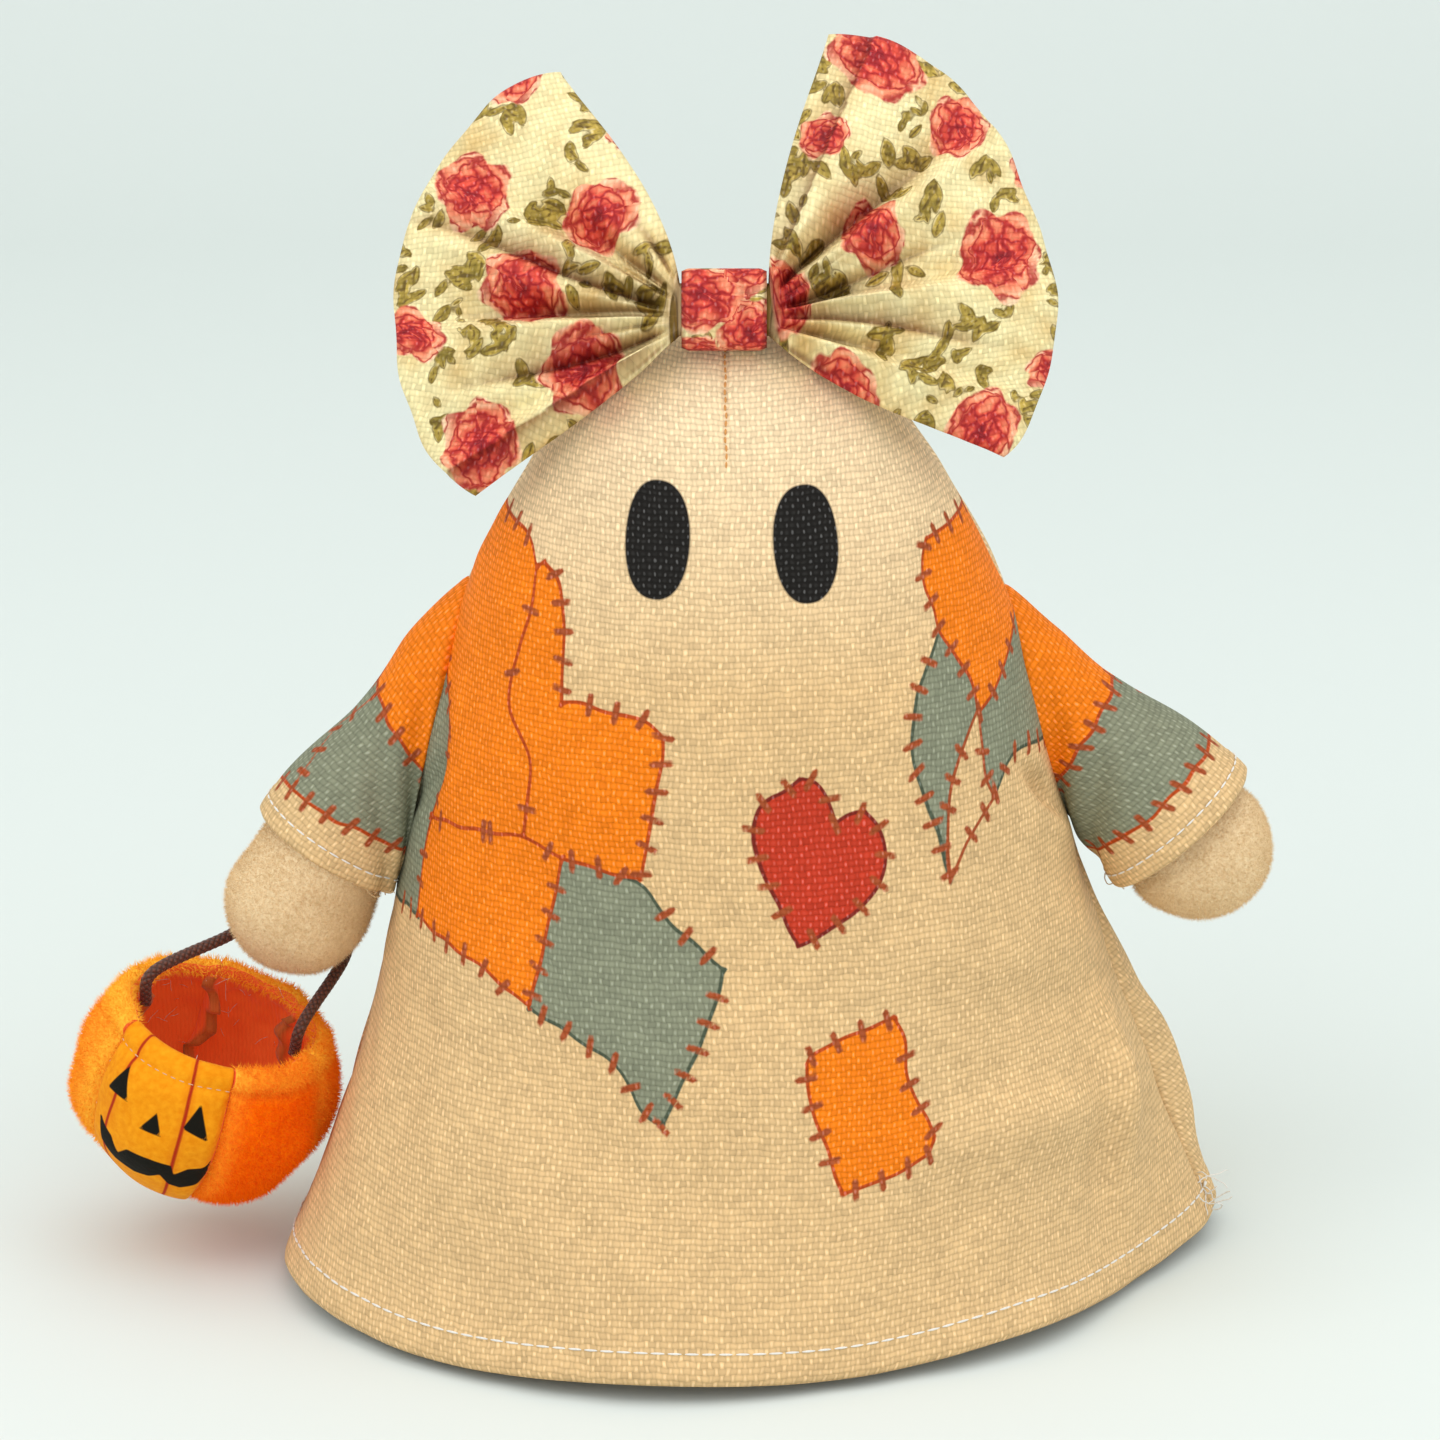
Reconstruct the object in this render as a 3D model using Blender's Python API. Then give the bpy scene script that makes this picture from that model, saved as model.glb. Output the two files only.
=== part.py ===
"""A plush ghost in a faux-burlap robe, with a bow on its head and a plush pumpkin basket on one hand.

+X is to the right as one looks at its face, -Y is its front and +Z is up. The origin is the middle of
the flat base that it stands on. The ghost's own right hand, at -X, carries the basket.
"""

import math

import bmesh
import bpy
from mathutils import Matrix, Vector

MM = 0.001


def mm(*values):
    """Several sizes in millimetres, as metres."""
    return tuple(value * MM for value in values)


# Clearance that touching pieces keep, and the thickness of the cloths
SEAM_GAP = 0.3 * MM
ROBE_CLOTH = 1.2 * MM
SLEEVE_CLOTH = 1.1 * MM
BOW_CLOTH = 2.2 * MM
KNOT_CLOTH = 1.2 * MM
PLUSH_WALL = 1.8 * MM
FACE_WALL = 1.3 * MM

# Robe: its height, its hem's half width and half depth, then shares of the three at each cross-section
ROBE_HEIGHT = 172.6 * MM
HEM_HALF_WIDTH = 84.0 * MM
HEM_HALF_DEPTH = 74.0 * MM
ROBE_STATIONS = [
    (0.0116, 1.000, 1.000),
    (0.0695, 0.952, 0.953),
    (0.1506, 0.888, 0.885),
    (0.2549, 0.819, 0.811),
    (0.3708, 0.752, 0.736),
    (0.4983, 0.688, 0.662),
    (0.6141, 0.636, 0.599),
    (0.7010, 0.579, 0.535),
    (0.7764, 0.507, 0.470),
    (0.8459, 0.426, 0.397),
    (0.9096, 0.329, 0.314),
    (0.9618, 0.210, 0.208),
    (0.9907, 0.095, 0.097),
    (1.0000, 0.000, 0.000),
]
ROBE_ROWS = 19
ROBE_COLUMNS = 22
SKIRT_TOP = 92.0 * MM
SKIRT_TWIST = 0.078
SKIRT_TWIST_ANGLE = math.radians(-127)
SKIRT_WAVE = 0.012
SKIRT_WAVES = 7
SEAM_FLARE = 0.04
SEAM_FLARE_WIDTH = math.radians(12)
HEM_WAVE = 0.8 * MM
SKIRT_SHIFT = 2.0 * MM
SKIRT_SHIFT_TOP = 105.0 * MM

# Stuffed body inside the robe, with a bag of pellets in its foot and a card base under it
BODY_BREAK = 46.0 * MM
BODY_EASE = 0.6 * MM
BODY_FOOT_RADIUS = 54.0 * MM
BODY_BELLY = 4.0 * MM
BODY_FOOT_ROWS = 3
BASE_RADIUS = 52.0 * MM
BASE_THICKNESS = 2.4 * MM
BASE_EDGE = 0.6 * MM
BAG_RADIUS = 40.0 * MM
BAG_HEIGHT = 15.0 * MM
ROUND_SIDES = 28

# Arms: middle line from inside the shoulder, by a bend, to the tip of the hand, then the cuff's radius
# and how far the hand shows beyond it
ARMS = {
    "right": (mm(-30.0, 2.0, 112.0), mm(-55.0, 1.0, 111.5), mm(-84.6, -1.0, 52.6), *mm(13.9, 24.3)),
    "left": (mm(27.0, 3.0, 112.0), mm(55.0, 1.5, 111.5), mm(91.6, 0.0, 64.0), *mm(15.6, 18.0)),
}
ARM_ROOT_HEIGHT = 16.5 * MM
ARM_ROOT_DEPTH = 9.5 * MM
ARM_ELBOW = 9.2 * MM
ARM_WRIST = 11.8 * MM
HAND_RADIUS = 13.0 * MM
SLEEVE_EASE = 0.35 * MM
ARM_SIDES = 18
ARM_LINE_STEPS = 60
ARM_RINGS = 7

# Bow: each wing is a fan of doubled cloth, gathered at the waist that the knot wraps
BOW_LEAN = math.radians(20)
BOW_RISE = 160.5 * MM
BOW_SHIFT = -1.8 * MM
WING_RADIUS = 49.8 * MM
WING_CORNER = 0.05
WING_SWEEP = 9.0 * MM
WING_PUFF = 1.2 * MM
WAIST_HALF_HEIGHT = 4.5 * MM
WAIST_HALF_DEPTH = 1.7 * MM
KNOT_WIDTH = 14.6 * MM
KNOT_HEIGHT = 14.0 * MM
KNOT_DEPTH = 9.4 * MM
KNOT_NESTLE = 1.2 * MM
WAIST_HALF_WIDTH = KNOT_WIDTH / 2 + SEAM_GAP
# Lowest and highest angle of each wing, how much wider both are at the waist, how far its top tip stands
# out, then the heights of its pleats in millimetres, by angle
WINGS = {
    -1: (-41.0, 64.0, (-6.0, 18.0), 0.0, [
        (-45, -1.0), (-34, 1.8), (-29, -3.4), (-18, 2.6), (-5, 4.0), (0, -3.2),
        (10, 2.2), (27, 4.2), (33, -3.4), (50, 2.0), (66, -1.0),
    ]),
    1: (-31.0, 78.0, (-15.0, 11.0), 3.4, [
        (-38, -1.5), (-21, 2.8), (-15, -3.0), (-3, 2.6), (8, 4.2), (14, -2.8),
        (26, 2.2), (37, 4.0), (44, -3.2), (62, 2.0), (80, -1.0),
    ]),
}
PLEAT_RISE = 0.25
PLEAT_FALL = 0.85
WING_COLUMNS = 9
WING_ROWS = 22
KNOT_SIDES = 20
KNOT_COLUMNS = 5

# Pumpkin basket: its radius, then shares of it, outward and up, from the gathered bottom to the rim
PUMPKIN_CENTRE = mm(-96.2, -4.5, 31.2)
PUMPKIN_ROLL = math.radians(17)
PUMPKIN_PITCH = math.radians(10)
PUMPKIN_RADIUS = 24.1 * MM
PUMPKIN_PROFILE = [
    (0.037, -0.739),
    (0.349, -0.784),
    (0.672, -0.647),
    (0.905, -0.361),
    (1.000, 0.000),
    (0.950, 0.299),
    (0.834, 0.515),
    (0.739, 0.614),
]
PROFILE_STEPS = 11
CUFF_WIDTH = 2.2 * MM
CUFF_DROP = 5.0 * MM
GORE_GROOVE = 0.085
FACE_MIDDLE = math.radians(-110)
FACE_WIDTH = math.radians(70)
PLUSH_GORES = 5
GORE_COLUMNS = 6

# Basket handle: a braided cord from one side of the rim, behind the hand, to the other
CORD_DIAMETER = 2.2 * MM
HANDLE_FOOT_ANGLES = (math.radians(172), math.radians(-3))
HANDLE_FOOT_DEPTH = 4.0 * MM
HANDLE_RISE = 3.0 * MM
HAND_WRAP = [
    (-0.86, 0.10, -0.48),
    (-0.62, 0.62, -0.48),
    (-0.10, 0.90, -0.42),
    (0.35, 0.80, -0.48),
    (0.52, 0.36, -0.78),
]
HANDLE_STEP = 4.4 * MM
HANDLE_CLEARANCE = 1.3 * MM

# Colour and roughness of each material
MATERIALS = {
    "burlap": ((0.78, 0.60, 0.38, 1.0), 0.75),
    "hand_plush": ((0.80, 0.62, 0.42, 1.0), 0.95),
    "floral_burlap": ((0.80, 0.70, 0.45, 1.0), 0.7),
    "pumpkin_plush": ((0.95, 0.33, 0.03, 1.0), 0.95),
    "pumpkin_face": ((0.97, 0.42, 0.03, 1.0), 0.8),
    "brown_cord": ((0.10, 0.035, 0.02, 1.0), 0.7),
    "stuffing": ((0.85, 0.83, 0.78, 1.0), 0.95),
    "pellet_bag": ((0.82, 0.80, 0.75, 1.0), 0.8),
    "base_card": ((0.55, 0.40, 0.24, 1.0), 0.85),
}
SMOOTH_ANGLE = math.radians(40)


def clear_scene():
    for old in list(bpy.data.objects):
        bpy.data.objects.remove(old)


def material(name):
    """The named material, made the first time that it is asked for."""
    if name in bpy.data.materials:
        return bpy.data.materials[name]
    colour, roughness = MATERIALS[name]
    made = bpy.data.materials.new(name)
    made.use_nodes = True
    made.diffuse_color = colour
    shader = made.node_tree.nodes["Principled BSDF"]
    shader.inputs["Base Color"].default_value = colour
    shader.inputs["Roughness"].default_value = roughness
    shader.inputs["Metallic"].default_value = 0.0
    return made


def smoothstep(low, high, value):
    share = min(1.0, max(0.0, (value - low) / (high - low)))
    return share * share * (3 - 2 * share)


def mix(a, b, share):
    return a + (b - a) * share


def spline(points, share):
    """The point at share, 0 to 1, of a smooth curve through points, which start and end with a guide point."""
    spans = len(points) - 3
    place = min(max(share, 0.0), 1.0) * spans
    first = min(int(place), spans - 1)
    t = place - first
    found = []
    for p0, p1, p2, p3 in zip(*points[first : first + 4]):
        bend = (2 * p0 - 5 * p1 + 4 * p2 - p3) * t * t + (3 * p1 - p0 - 3 * p2 + p3) * t**3
        found.append(p1 + 0.5 * ((p2 - p0) * t + bend))
    return found


def guided(points):
    """Points with a straight run-on at each end, for spline."""
    before = [2 * a - b for a, b in zip(points[0], points[1])]
    after = [2 * a - b for a, b in zip(points[-1], points[-2])]
    return [before, *points, after]


def mesh_object(name, verts, faces, slot, helper=False):
    """A closed mesh as an object, facing out. A helper is a cutter, which isn't a piece."""
    shape = bmesh.new()
    corners = [shape.verts.new(v) for v in verts]
    for face in faces:
        shape.faces.new([corners[i] for i in face])
    bmesh.ops.remove_doubles(shape, verts=shape.verts, dist=1e-6)
    bmesh.ops.dissolve_degenerate(shape, edges=shape.edges, dist=1e-6)
    bmesh.ops.recalc_face_normals(shape, faces=shape.faces)
    mesh = bpy.data.meshes.new(name)
    shape.to_mesh(mesh)
    shape.free()
    mesh.shade_smooth()
    mesh.set_sharp_from_angle(angle=SMOOTH_ANGLE)
    made = bpy.data.objects.new(name, mesh)
    bpy.context.scene.collection.objects.link(made)
    if helper:
        made.hide_render = True
        made.display_type = "WIRE"
    else:
        mesh.materials.append(material(slot))
    return made


def grid_faces(rows, columns, first=0, wrapped=False):
    """Four-sided faces of a grid of points, stored row by row from index first."""
    faces = []
    across = columns if wrapped else columns - 1
    for i in range(rows - 1):
        for j in range(across):
            k = (j + 1) % columns
            low, high = first + i * columns, first + (i + 1) * columns
            faces.append((low + j, low + k, high + k, high + j))
    return faces


def rim_faces(loop_a, loop_b, wrapped=True):
    """A strip of faces between two equal runs of indices."""
    faces = []
    count = len(loop_a) if wrapped else len(loop_a) - 1
    for j in range(count):
        k = (j + 1) % len(loop_a)
        faces.append((loop_a[j], loop_b[j], loop_b[k], loop_a[k]))
    return faces


def sheet_solid(name, outer, inner, slot):
    """A sheet of cloth: an outer and an inner grid of points, joined all round their edge."""
    rows, columns = len(outer), len(outer[0])
    verts = [p for grid in (outer, inner) for row in grid for p in row]
    count = rows * columns
    faces = grid_faces(rows, columns) + grid_faces(rows, columns, count)
    edge = list(range(columns))
    edge += [i * columns + columns - 1 for i in range(1, rows)]
    edge += [(rows - 1) * columns + j for j in range(columns - 2, -1, -1)]
    edge += [i * columns for i in range(rows - 2, 0, -1)]
    faces += rim_faces(edge, [i + count for i in edge])
    return mesh_object(name, verts, faces, slot)


def tube_solid(name, outer, inner, slot):
    """A tube wall: two grids of closed rings, joined at both ends."""
    rows, columns = len(outer), len(outer[0])
    verts = [p for grid in (outer, inner) for row in grid for p in row]
    count = rows * columns
    faces = grid_faces(rows, columns, 0, True) + grid_faces(rows, columns, count, True)
    for row in (0, rows - 1):
        loop = [row * columns + j for j in range(columns)]
        faces += rim_faces(loop, [i + count for i in loop])
    return mesh_object(name, verts, faces, slot)


def ring_solid(name, rings, slot, helper=False):
    """A solid through closed rings, from its first ring to its last, with both ends filled."""
    columns = len(rings[0])
    verts = [p for ring in rings for p in ring]
    faces = grid_faces(len(rings), columns, 0, True)
    for row in (0, len(rings) - 1):
        faces.append([row * columns + j for j in range(columns)])
    return mesh_object(name, verts, faces, slot, helper)


def cut(piece, cutter):
    boolean = piece.modifiers.new("cut_" + cutter.name, "BOOLEAN")
    boolean.operation = "DIFFERENCE"
    boolean.object = cutter


def robe_section(share):
    """Height, half width and half depth of the robe, share 0 at the hem and 1 at the crown."""
    first, second = ROBE_STATIONS[0], ROBE_STATIONS[1]
    before = [2 * a - b for a, b in zip(first, second)]
    high, wide, deep = ROBE_STATIONS[-2]
    high, wide, deep = spline([before, *ROBE_STATIONS, (high, -wide, -deep)], share)
    return high * ROBE_HEIGHT, wide * HEM_HALF_WIDTH, deep * HEM_HALF_DEPTH


def robe_point(angle, share):
    """A point of the robe's outer face. Angle 0 is at +X and -90 degrees is the front."""
    height, width, depth = robe_section(share)
    fade = (1 - smoothstep(0, SKIRT_TOP, height)) ** 1.3
    twist = SKIRT_TWIST * math.cos(2 * (angle - SKIRT_TWIST_ANGLE))
    wave = SKIRT_WAVE * math.cos(SKIRT_WAVES * angle)
    turned = (angle + math.pi) % math.tau - math.pi
    flare = SEAM_FLARE * math.exp(-((turned / SEAM_FLARE_WIDTH) ** 2))
    swell = 1 + fade * (twist + wave + flare)
    lift = fade * HEM_WAVE * (1 + math.cos(SKIRT_WAVES * angle))
    shift = SKIRT_SHIFT * (1 - smoothstep(SKIRT_TOP / 2, SKIRT_SHIFT_TOP, height))
    x = shift + width * swell * math.cos(angle)
    return Vector((x, depth * swell * math.sin(angle), height + lift))


def robe_normal(angle, share):
    """The outward direction of the robe's face."""
    step = 1e-3
    if share > 1 - step:
        return Vector((0, 0, 1))
    across = robe_point(angle + step, share) - robe_point(angle - step, share)
    up = robe_point(angle, min(1, share + step)) - robe_point(angle, max(0, share - step))
    return across.cross(up).normalized()


def robe_offset(angle, share, distance):
    return robe_point(angle, share) + robe_normal(angle, share) * distance


def robe_shares():
    return [row / (ROBE_ROWS - 1) for row in range(ROBE_ROWS)]


def robe_angles():
    """The angles of a whole ring, which both panels and the body share."""
    return [math.pi * (j / ROBE_COLUMNS - 1) for j in range(2 * ROBE_COLUMNS)]


def robe_rings(distance, lowest=0.0, every=1):
    """Whole rings at this distance from the robe's face, from the height lowest to the crown."""
    shares = [s for s in robe_shares()[::every] if robe_section(s)[0] >= lowest]
    return [[robe_offset(a, s, distance) for a in robe_angles()] for s in shares]


def robe_panel(name, first_angle, side, cutters):
    """The front panel (side -1) or back panel (side 1), with its half of each armhole cut out."""
    angles = [first_angle + math.pi * j / ROBE_COLUMNS for j in range(ROBE_COLUMNS + 1)]
    seam = Vector((0, side * SEAM_GAP / 2, 0))
    outer = [[robe_point(a, s) + seam for a in angles] for s in robe_shares()]
    inner = [[robe_offset(a, s, -ROBE_CLOTH) + seam for a in angles] for s in robe_shares()]
    panel = sheet_solid(name, outer, inner, "burlap")
    for cutter in cutters:
        cut(panel, cutter)
    return panel


def robe_envelope():
    """Cutter: everything inside the robe's face, and the seam gap outside it."""
    return ring_solid("robe_envelope", robe_rings(SEAM_GAP), None, helper=True)


def body_envelope():
    """Cutter: everything inside the robe's cloth."""
    return ring_solid("body_envelope", robe_rings(-ROBE_CLOTH), None, helper=True)


def round_ring(radius, height):
    angles = [math.tau * j / (2 * ROBE_COLUMNS) - math.pi for j in range(2 * ROBE_COLUMNS)]
    return [Vector((radius * math.cos(a), radius * math.sin(a), height)) for a in angles]


def stuffed_body():
    """The stuffed body: it fills the robe down to BODY_BREAK, then draws in to a foot with a pocket."""
    floor = BASE_THICKNESS + SEAM_GAP
    pocket = BAG_RADIUS + SEAM_GAP
    pocket_top = floor + BAG_HEIGHT + 2 * SEAM_GAP
    upper = robe_rings(-(ROBE_CLOTH + BODY_EASE), BODY_BREAK, every=2)
    foot = round_ring(BODY_FOOT_RADIUS, floor)
    rings = [round_ring(pocket, pocket_top), round_ring(pocket, floor)]
    for row in range(BODY_FOOT_ROWS):
        share = row / BODY_FOOT_ROWS
        belly = 1 + BODY_BELLY / BODY_FOOT_RADIUS * math.sin(math.pi * share)
        ring = []
        for low, high in zip(foot, upper[0]):
            point = low.lerp(high, share)
            ring.append(Vector((point.x * belly, point.y * belly, point.z)))
        rings.append(ring)
    return ring_solid("stuffed_body", rings + upper, "stuffing")


def turned_solid(name, profile, slot):
    """A round piece from (radius, height) pairs, listed from its bottom to its top."""
    sides = [math.tau * j / ROUND_SIDES for j in range(ROUND_SIDES)]
    rings = [[(r * math.cos(a), r * math.sin(a), z) for a in sides] for r, z in profile]
    return ring_solid(name, rings, slot)


def base_disc():
    flat = BASE_RADIUS - BASE_EDGE
    profile = [(flat, 0), (BASE_RADIUS, BASE_EDGE)]
    profile += [(r, BASE_THICKNESS - z) for r, z in reversed(profile)]
    return turned_solid("base_disc", profile, "base_card")


def pellet_bag():
    """A flat bag of plastic pellets: a pillow with full, round sides."""
    floor = BASE_THICKNESS + 2 * SEAM_GAP
    half = BAG_HEIGHT / 2 - SEAM_GAP
    profile = []
    for step in range(7):
        angle = math.radians(-75 + 25 * step)
        profile.append((BAG_RADIUS - half + half * math.cos(angle), floor + half + half * math.sin(angle)))
    return turned_solid("pellet_bag", profile, "pellet_bag")


class Arm:
    """One arm's middle line and sections, which the arm, its sleeve and its armhole share."""

    def __init__(self, side):
        root, bend, tip, self.cuff, self.showing = ARMS[side]
        self.root, self.bend, self.tip = Vector(root), Vector(bend), Vector(tip)
        self.line = [self.curve(step / ARM_LINE_STEPS) for step in range(ARM_LINE_STEPS + 1)]
        self.travelled = [0.0]
        for a, b in zip(self.line, self.line[1:]):
            self.travelled.append(self.travelled[-1] + (b - a).length)
        self.length = self.travelled[-1]

    def curve(self, share):
        return self.root.lerp(self.bend, share).lerp(self.bend.lerp(self.tip, share), share)

    def place(self, reach):
        """The point of the middle line at this distance along it, and the direction there."""
        step = 0
        while step < ARM_LINE_STEPS - 1 and self.travelled[step + 1] < reach:
            step += 1
        a, b = self.line[step], self.line[step + 1]
        along = (b - a).normalized()
        return a + along * (reach - self.travelled[step]), along

    def radii(self, reach):
        """Half height and half depth at this distance from the root."""
        elbow, wrist = self.length * 0.45, self.length - self.showing
        palm = self.length - HAND_RADIUS
        if reach <= elbow:
            share = smoothstep(0, elbow, reach)
            return mix(ARM_ROOT_HEIGHT, ARM_ELBOW, share), mix(ARM_ROOT_DEPTH, ARM_ELBOW, share)
        if reach <= wrist:
            radius = mix(ARM_ELBOW, ARM_WRIST, smoothstep(elbow, wrist, reach))
        elif reach <= palm:
            radius = mix(ARM_WRIST, HAND_RADIUS, smoothstep(wrist, palm, reach))
        else:
            radius = HAND_RADIUS * math.sqrt(max(0.0, 1 - ((reach - palm) / HAND_RADIUS) ** 2))
        return radius, radius

    def ring(self, reach, half_height, half_depth):
        centre, along = self.place(reach)
        deep = (Vector((0, 1, 0)) - along * along.y).normalized()
        up = deep.cross(along)
        up *= math.copysign(1, up.z)
        points = []
        for j in range(ARM_SIDES):
            angle = math.tau * j / ARM_SIDES
            points.append(centre + up * half_height * math.cos(angle) + deep * half_depth * math.sin(angle))
        return points

    def reaches(self):
        """Distances along the arm at which it has a ring, closing over the round end of the hand."""
        wrist, palm = self.length - self.showing, self.length - HAND_RADIUS
        body = [wrist * row / (ARM_RINGS - 1) for row in range(ARM_RINGS)]
        hand = [mix(wrist, palm, 0.5), palm]
        end = [palm + HAND_RADIUS * math.sin(math.radians(a)) for a in (22, 44, 65, 82)]
        return body + hand + end

    def arm_rings(self, distance):
        """Rings of the arm, or at a distance outside it."""
        rings = []
        for reach in self.reaches():
            height, depth = self.radii(reach)
            rings.append(self.ring(reach, height + distance, depth + distance))
        return rings

    def palm_centre(self):
        return self.place(self.length - HAND_RADIUS)[0]

    def sleeve_grid(self, inset):
        """Rings of the sleeve's outer face, moved in by inset: it flares from the elbow to the cuff."""
        start, cuff_reach = self.length * 0.1, self.length - self.showing
        rings = []
        for row in range(8):
            reach = mix(start, cuff_reach, row / 7)
            height, depth = (r + SLEEVE_EASE + SLEEVE_CLOTH for r in self.radii(reach))
            flare = smoothstep(self.length * 0.4, cuff_reach, reach)
            height, depth = mix(height, self.cuff, flare), mix(depth, self.cuff, flare)
            rings.append(self.ring(reach, height - inset, depth - inset))
        return rings


def arm_pieces(side, robe_cutter, body_cutter):
    """A stuffed arm that is sewn to the body, and the sleeve over it. It returns the armhole's cutter."""
    arm = Arm(side)
    stuffed = ring_solid(f"arm_{side}", arm.arm_rings(0), "hand_plush")
    cut(stuffed, body_cutter)
    sleeve = tube_solid(f"sleeve_{side}", arm.sleeve_grid(0), arm.sleeve_grid(SLEEVE_CLOTH), "burlap")
    cut(sleeve, robe_cutter)
    return ring_solid(f"armhole_{side}", arm.arm_rings(SEAM_GAP)[:ARM_RINGS], None, helper=True)


def bow_axes():
    """The directions up the leaning bow and out of its front."""
    up = Vector((0, math.sin(BOW_LEAN), math.cos(BOW_LEAN)))
    front = Vector((0, -math.cos(BOW_LEAN), math.sin(BOW_LEAN)))
    return up, front


def bow_centre():
    """The middle of the knot, pushed out until its back just clears the crown of the robe."""
    up, front = bow_axes()
    reach = 0
    for share in [0.5 + 0.5 * row / 60 for row in range(61)]:
        for angle in [math.pi * (j / 12 - 1) for j in range(13)]:
            point = robe_point(angle, share)
            beside = abs(point.x - BOW_SHIFT) <= KNOT_WIDTH / 2
            level = abs(point.dot(up) - BOW_RISE) <= KNOT_HEIGHT / 2
            if beside and level:
                reach = max(reach, point.dot(front))
    reach += SEAM_GAP + KNOT_DEPTH / 2 - KNOT_NESTLE
    return Vector((BOW_SHIFT, 0, 0)) + up * BOW_RISE + front * reach


def pleat(pleats, degrees):
    """The height of a wing's pleats at this angle."""
    for (low, low_height), (high, high_height) in zip(pleats, pleats[1:]):
        if degrees <= high:
            return mix(low_height, high_height, smoothstep(low, high, degrees)) * MM
    return pleats[-1][1] * MM


def wing_point(side, out, across):
    """A point of a wing's middle face in the bow's own axes, with half its thickness.

    Out runs from 0 at the waist to 1 at the outer edge, and across from -1, low, to 1, high.
    """
    low, high, (low_curl, high_curl), tip, pleats = WINGS[side]
    curl = (1 - out) ** 1.5
    degrees = mix(low + low_curl * curl, high + high_curl * curl, (across + 1) / 2)
    angle = math.radians(degrees)
    reach = WING_RADIUS * (1 - WING_CORNER * abs(across) ** 8) + tip * MM * smoothstep(-0.1, 0.8, across)
    radius = reach * out
    x = side * (WAIST_HALF_WIDTH + radius * math.cos(angle))
    up = WAIST_HALF_HEIGHT * across * (1 - out) + radius * math.sin(angle)
    fade = smoothstep(0, PLEAT_RISE, out) * (1 - PLEAT_FALL * smoothstep(PLEAT_RISE, 1.05, out))
    front = pleat(pleats, degrees) * fade - WING_SWEEP * out**2
    thin = BOW_CLOTH / 2 + WING_PUFF * math.sin(math.pi * out) * (1 - across**4)
    half = mix(WAIST_HALF_DEPTH, thin, smoothstep(0, 0.3, out))
    return (x, front, up), half


def bow_wings():
    """Both wings, one doubled cloth that passes through the knot."""
    up, front = bow_axes()
    centre = bow_centre()
    levels = [2 * row / WING_ROWS - 1 for row in range(WING_ROWS + 1)]
    outs = [(column / WING_COLUMNS) ** 1.2 for column in range(WING_COLUMNS + 1)]
    columns = [(-1, out) for out in reversed(outs)] + [(1, out) for out in outs]
    faces = {1: [], -1: []}
    for across in levels:
        rows = {1: [], -1: []}
        for side, out in columns:
            (x, forward, high), half = wing_point(side, out, across)
            for layer in (1, -1):
                place = centre + Vector((x, 0, 0)) + up * high + front * (forward + layer * half)
                rows[layer].append(place)
        for layer in (1, -1):
            faces[layer].append(rows[layer])
    return sheet_solid("bow_wings", faces[1], faces[-1], "floral_burlap")


def bow_knot():
    """The band round the bow's waist: a soft, rounded loop of cloth."""
    up, front = bow_axes()
    centre = bow_centre()
    grids = []
    for inset in (0, KNOT_CLOTH):
        rows = []
        for column in range(KNOT_COLUMNS + 1):
            x = KNOT_WIDTH * (column / KNOT_COLUMNS - 0.5)
            ring = []
            for j in range(KNOT_SIDES):
                angle = math.tau * (j + 0.5) / KNOT_SIDES
                c, s = math.cos(angle), math.sin(angle)
                high = math.copysign(abs(s) ** 0.55, s) * (KNOT_HEIGHT / 2 - inset)
                forward = math.copysign(abs(c) ** 0.7, c) * (KNOT_DEPTH / 2 - inset)
                ring.append(centre + Vector((x, 0, 0)) + up * high + front * forward)
            rows.append(ring)
        grids.append(rows)
    return tube_solid("bow_knot", grids[0], grids[1], "floral_burlap")


def basket_frame():
    """The empty that carries the pumpkin basket, which hangs tipped from its handle."""
    frame = bpy.data.objects.new("basket_frame", None)
    turn = Matrix.Rotation(PUMPKIN_ROLL, 4, "Y") @ Matrix.Rotation(PUMPKIN_PITCH, 4, "X")
    frame.matrix_world = Matrix.Translation(PUMPKIN_CENTRE) @ turn
    bpy.context.scene.collection.objects.link(frame)
    return frame


def wall_outline(wall):
    """The closed section of the basket's wall as (radius, height) pairs: up its outer face and down its inner."""
    points = guided(PUMPKIN_PROFILE)
    steps = [step / PROFILE_STEPS for step in range(PROFILE_STEPS + 1)]
    outer = [Vector(spline(points, step)) * PUMPKIN_RADIUS for step in steps]
    inner = []
    for step, point in enumerate(outer):
        ahead = outer[min(step + 1, PROFILE_STEPS)] - outer[max(step - 1, 0)]
        inward = Vector((-ahead.y, ahead.x)).normalized()
        cuff = smoothstep(CUFF_DROP * 1.4, CUFF_DROP * 0.6, outer[-1].y - point.y)
        inner.append(point + inward * mix(wall, CUFF_WIDTH, cuff))
    inner[0] = Vector((outer[0].x, outer[0].y + wall))
    return outer + inner[::-1]


def gore(name, first, width, wall, slot, frame):
    """One panel of the basket, from seam to seam: it bulges between its two seams."""
    outline = wall_outline(wall)
    rings = []
    for column in range(GORE_COLUMNS + 1):
        share = column / GORE_COLUMNS
        angle = first + width * share
        groove = GORE_GROOVE * (1 - math.sin(math.pi * share) ** 0.7)
        inset = Vector((-math.sin(angle), math.cos(angle), 0)) * SEAM_GAP * (0.5 - share)
        ring = []
        for radius, height in outline:
            fade = smoothstep(0, 8 * MM, radius) * (1 - smoothstep(6 * MM, 16 * MM, height))
            r = radius * (1 - groove * fade)
            ring.append(Vector((r * math.cos(angle), r * math.sin(angle), height)) + inset)
        rings.append(ring)
    panel = ring_solid(name, rings, slot)
    panel.parent = frame
    return panel


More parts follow.
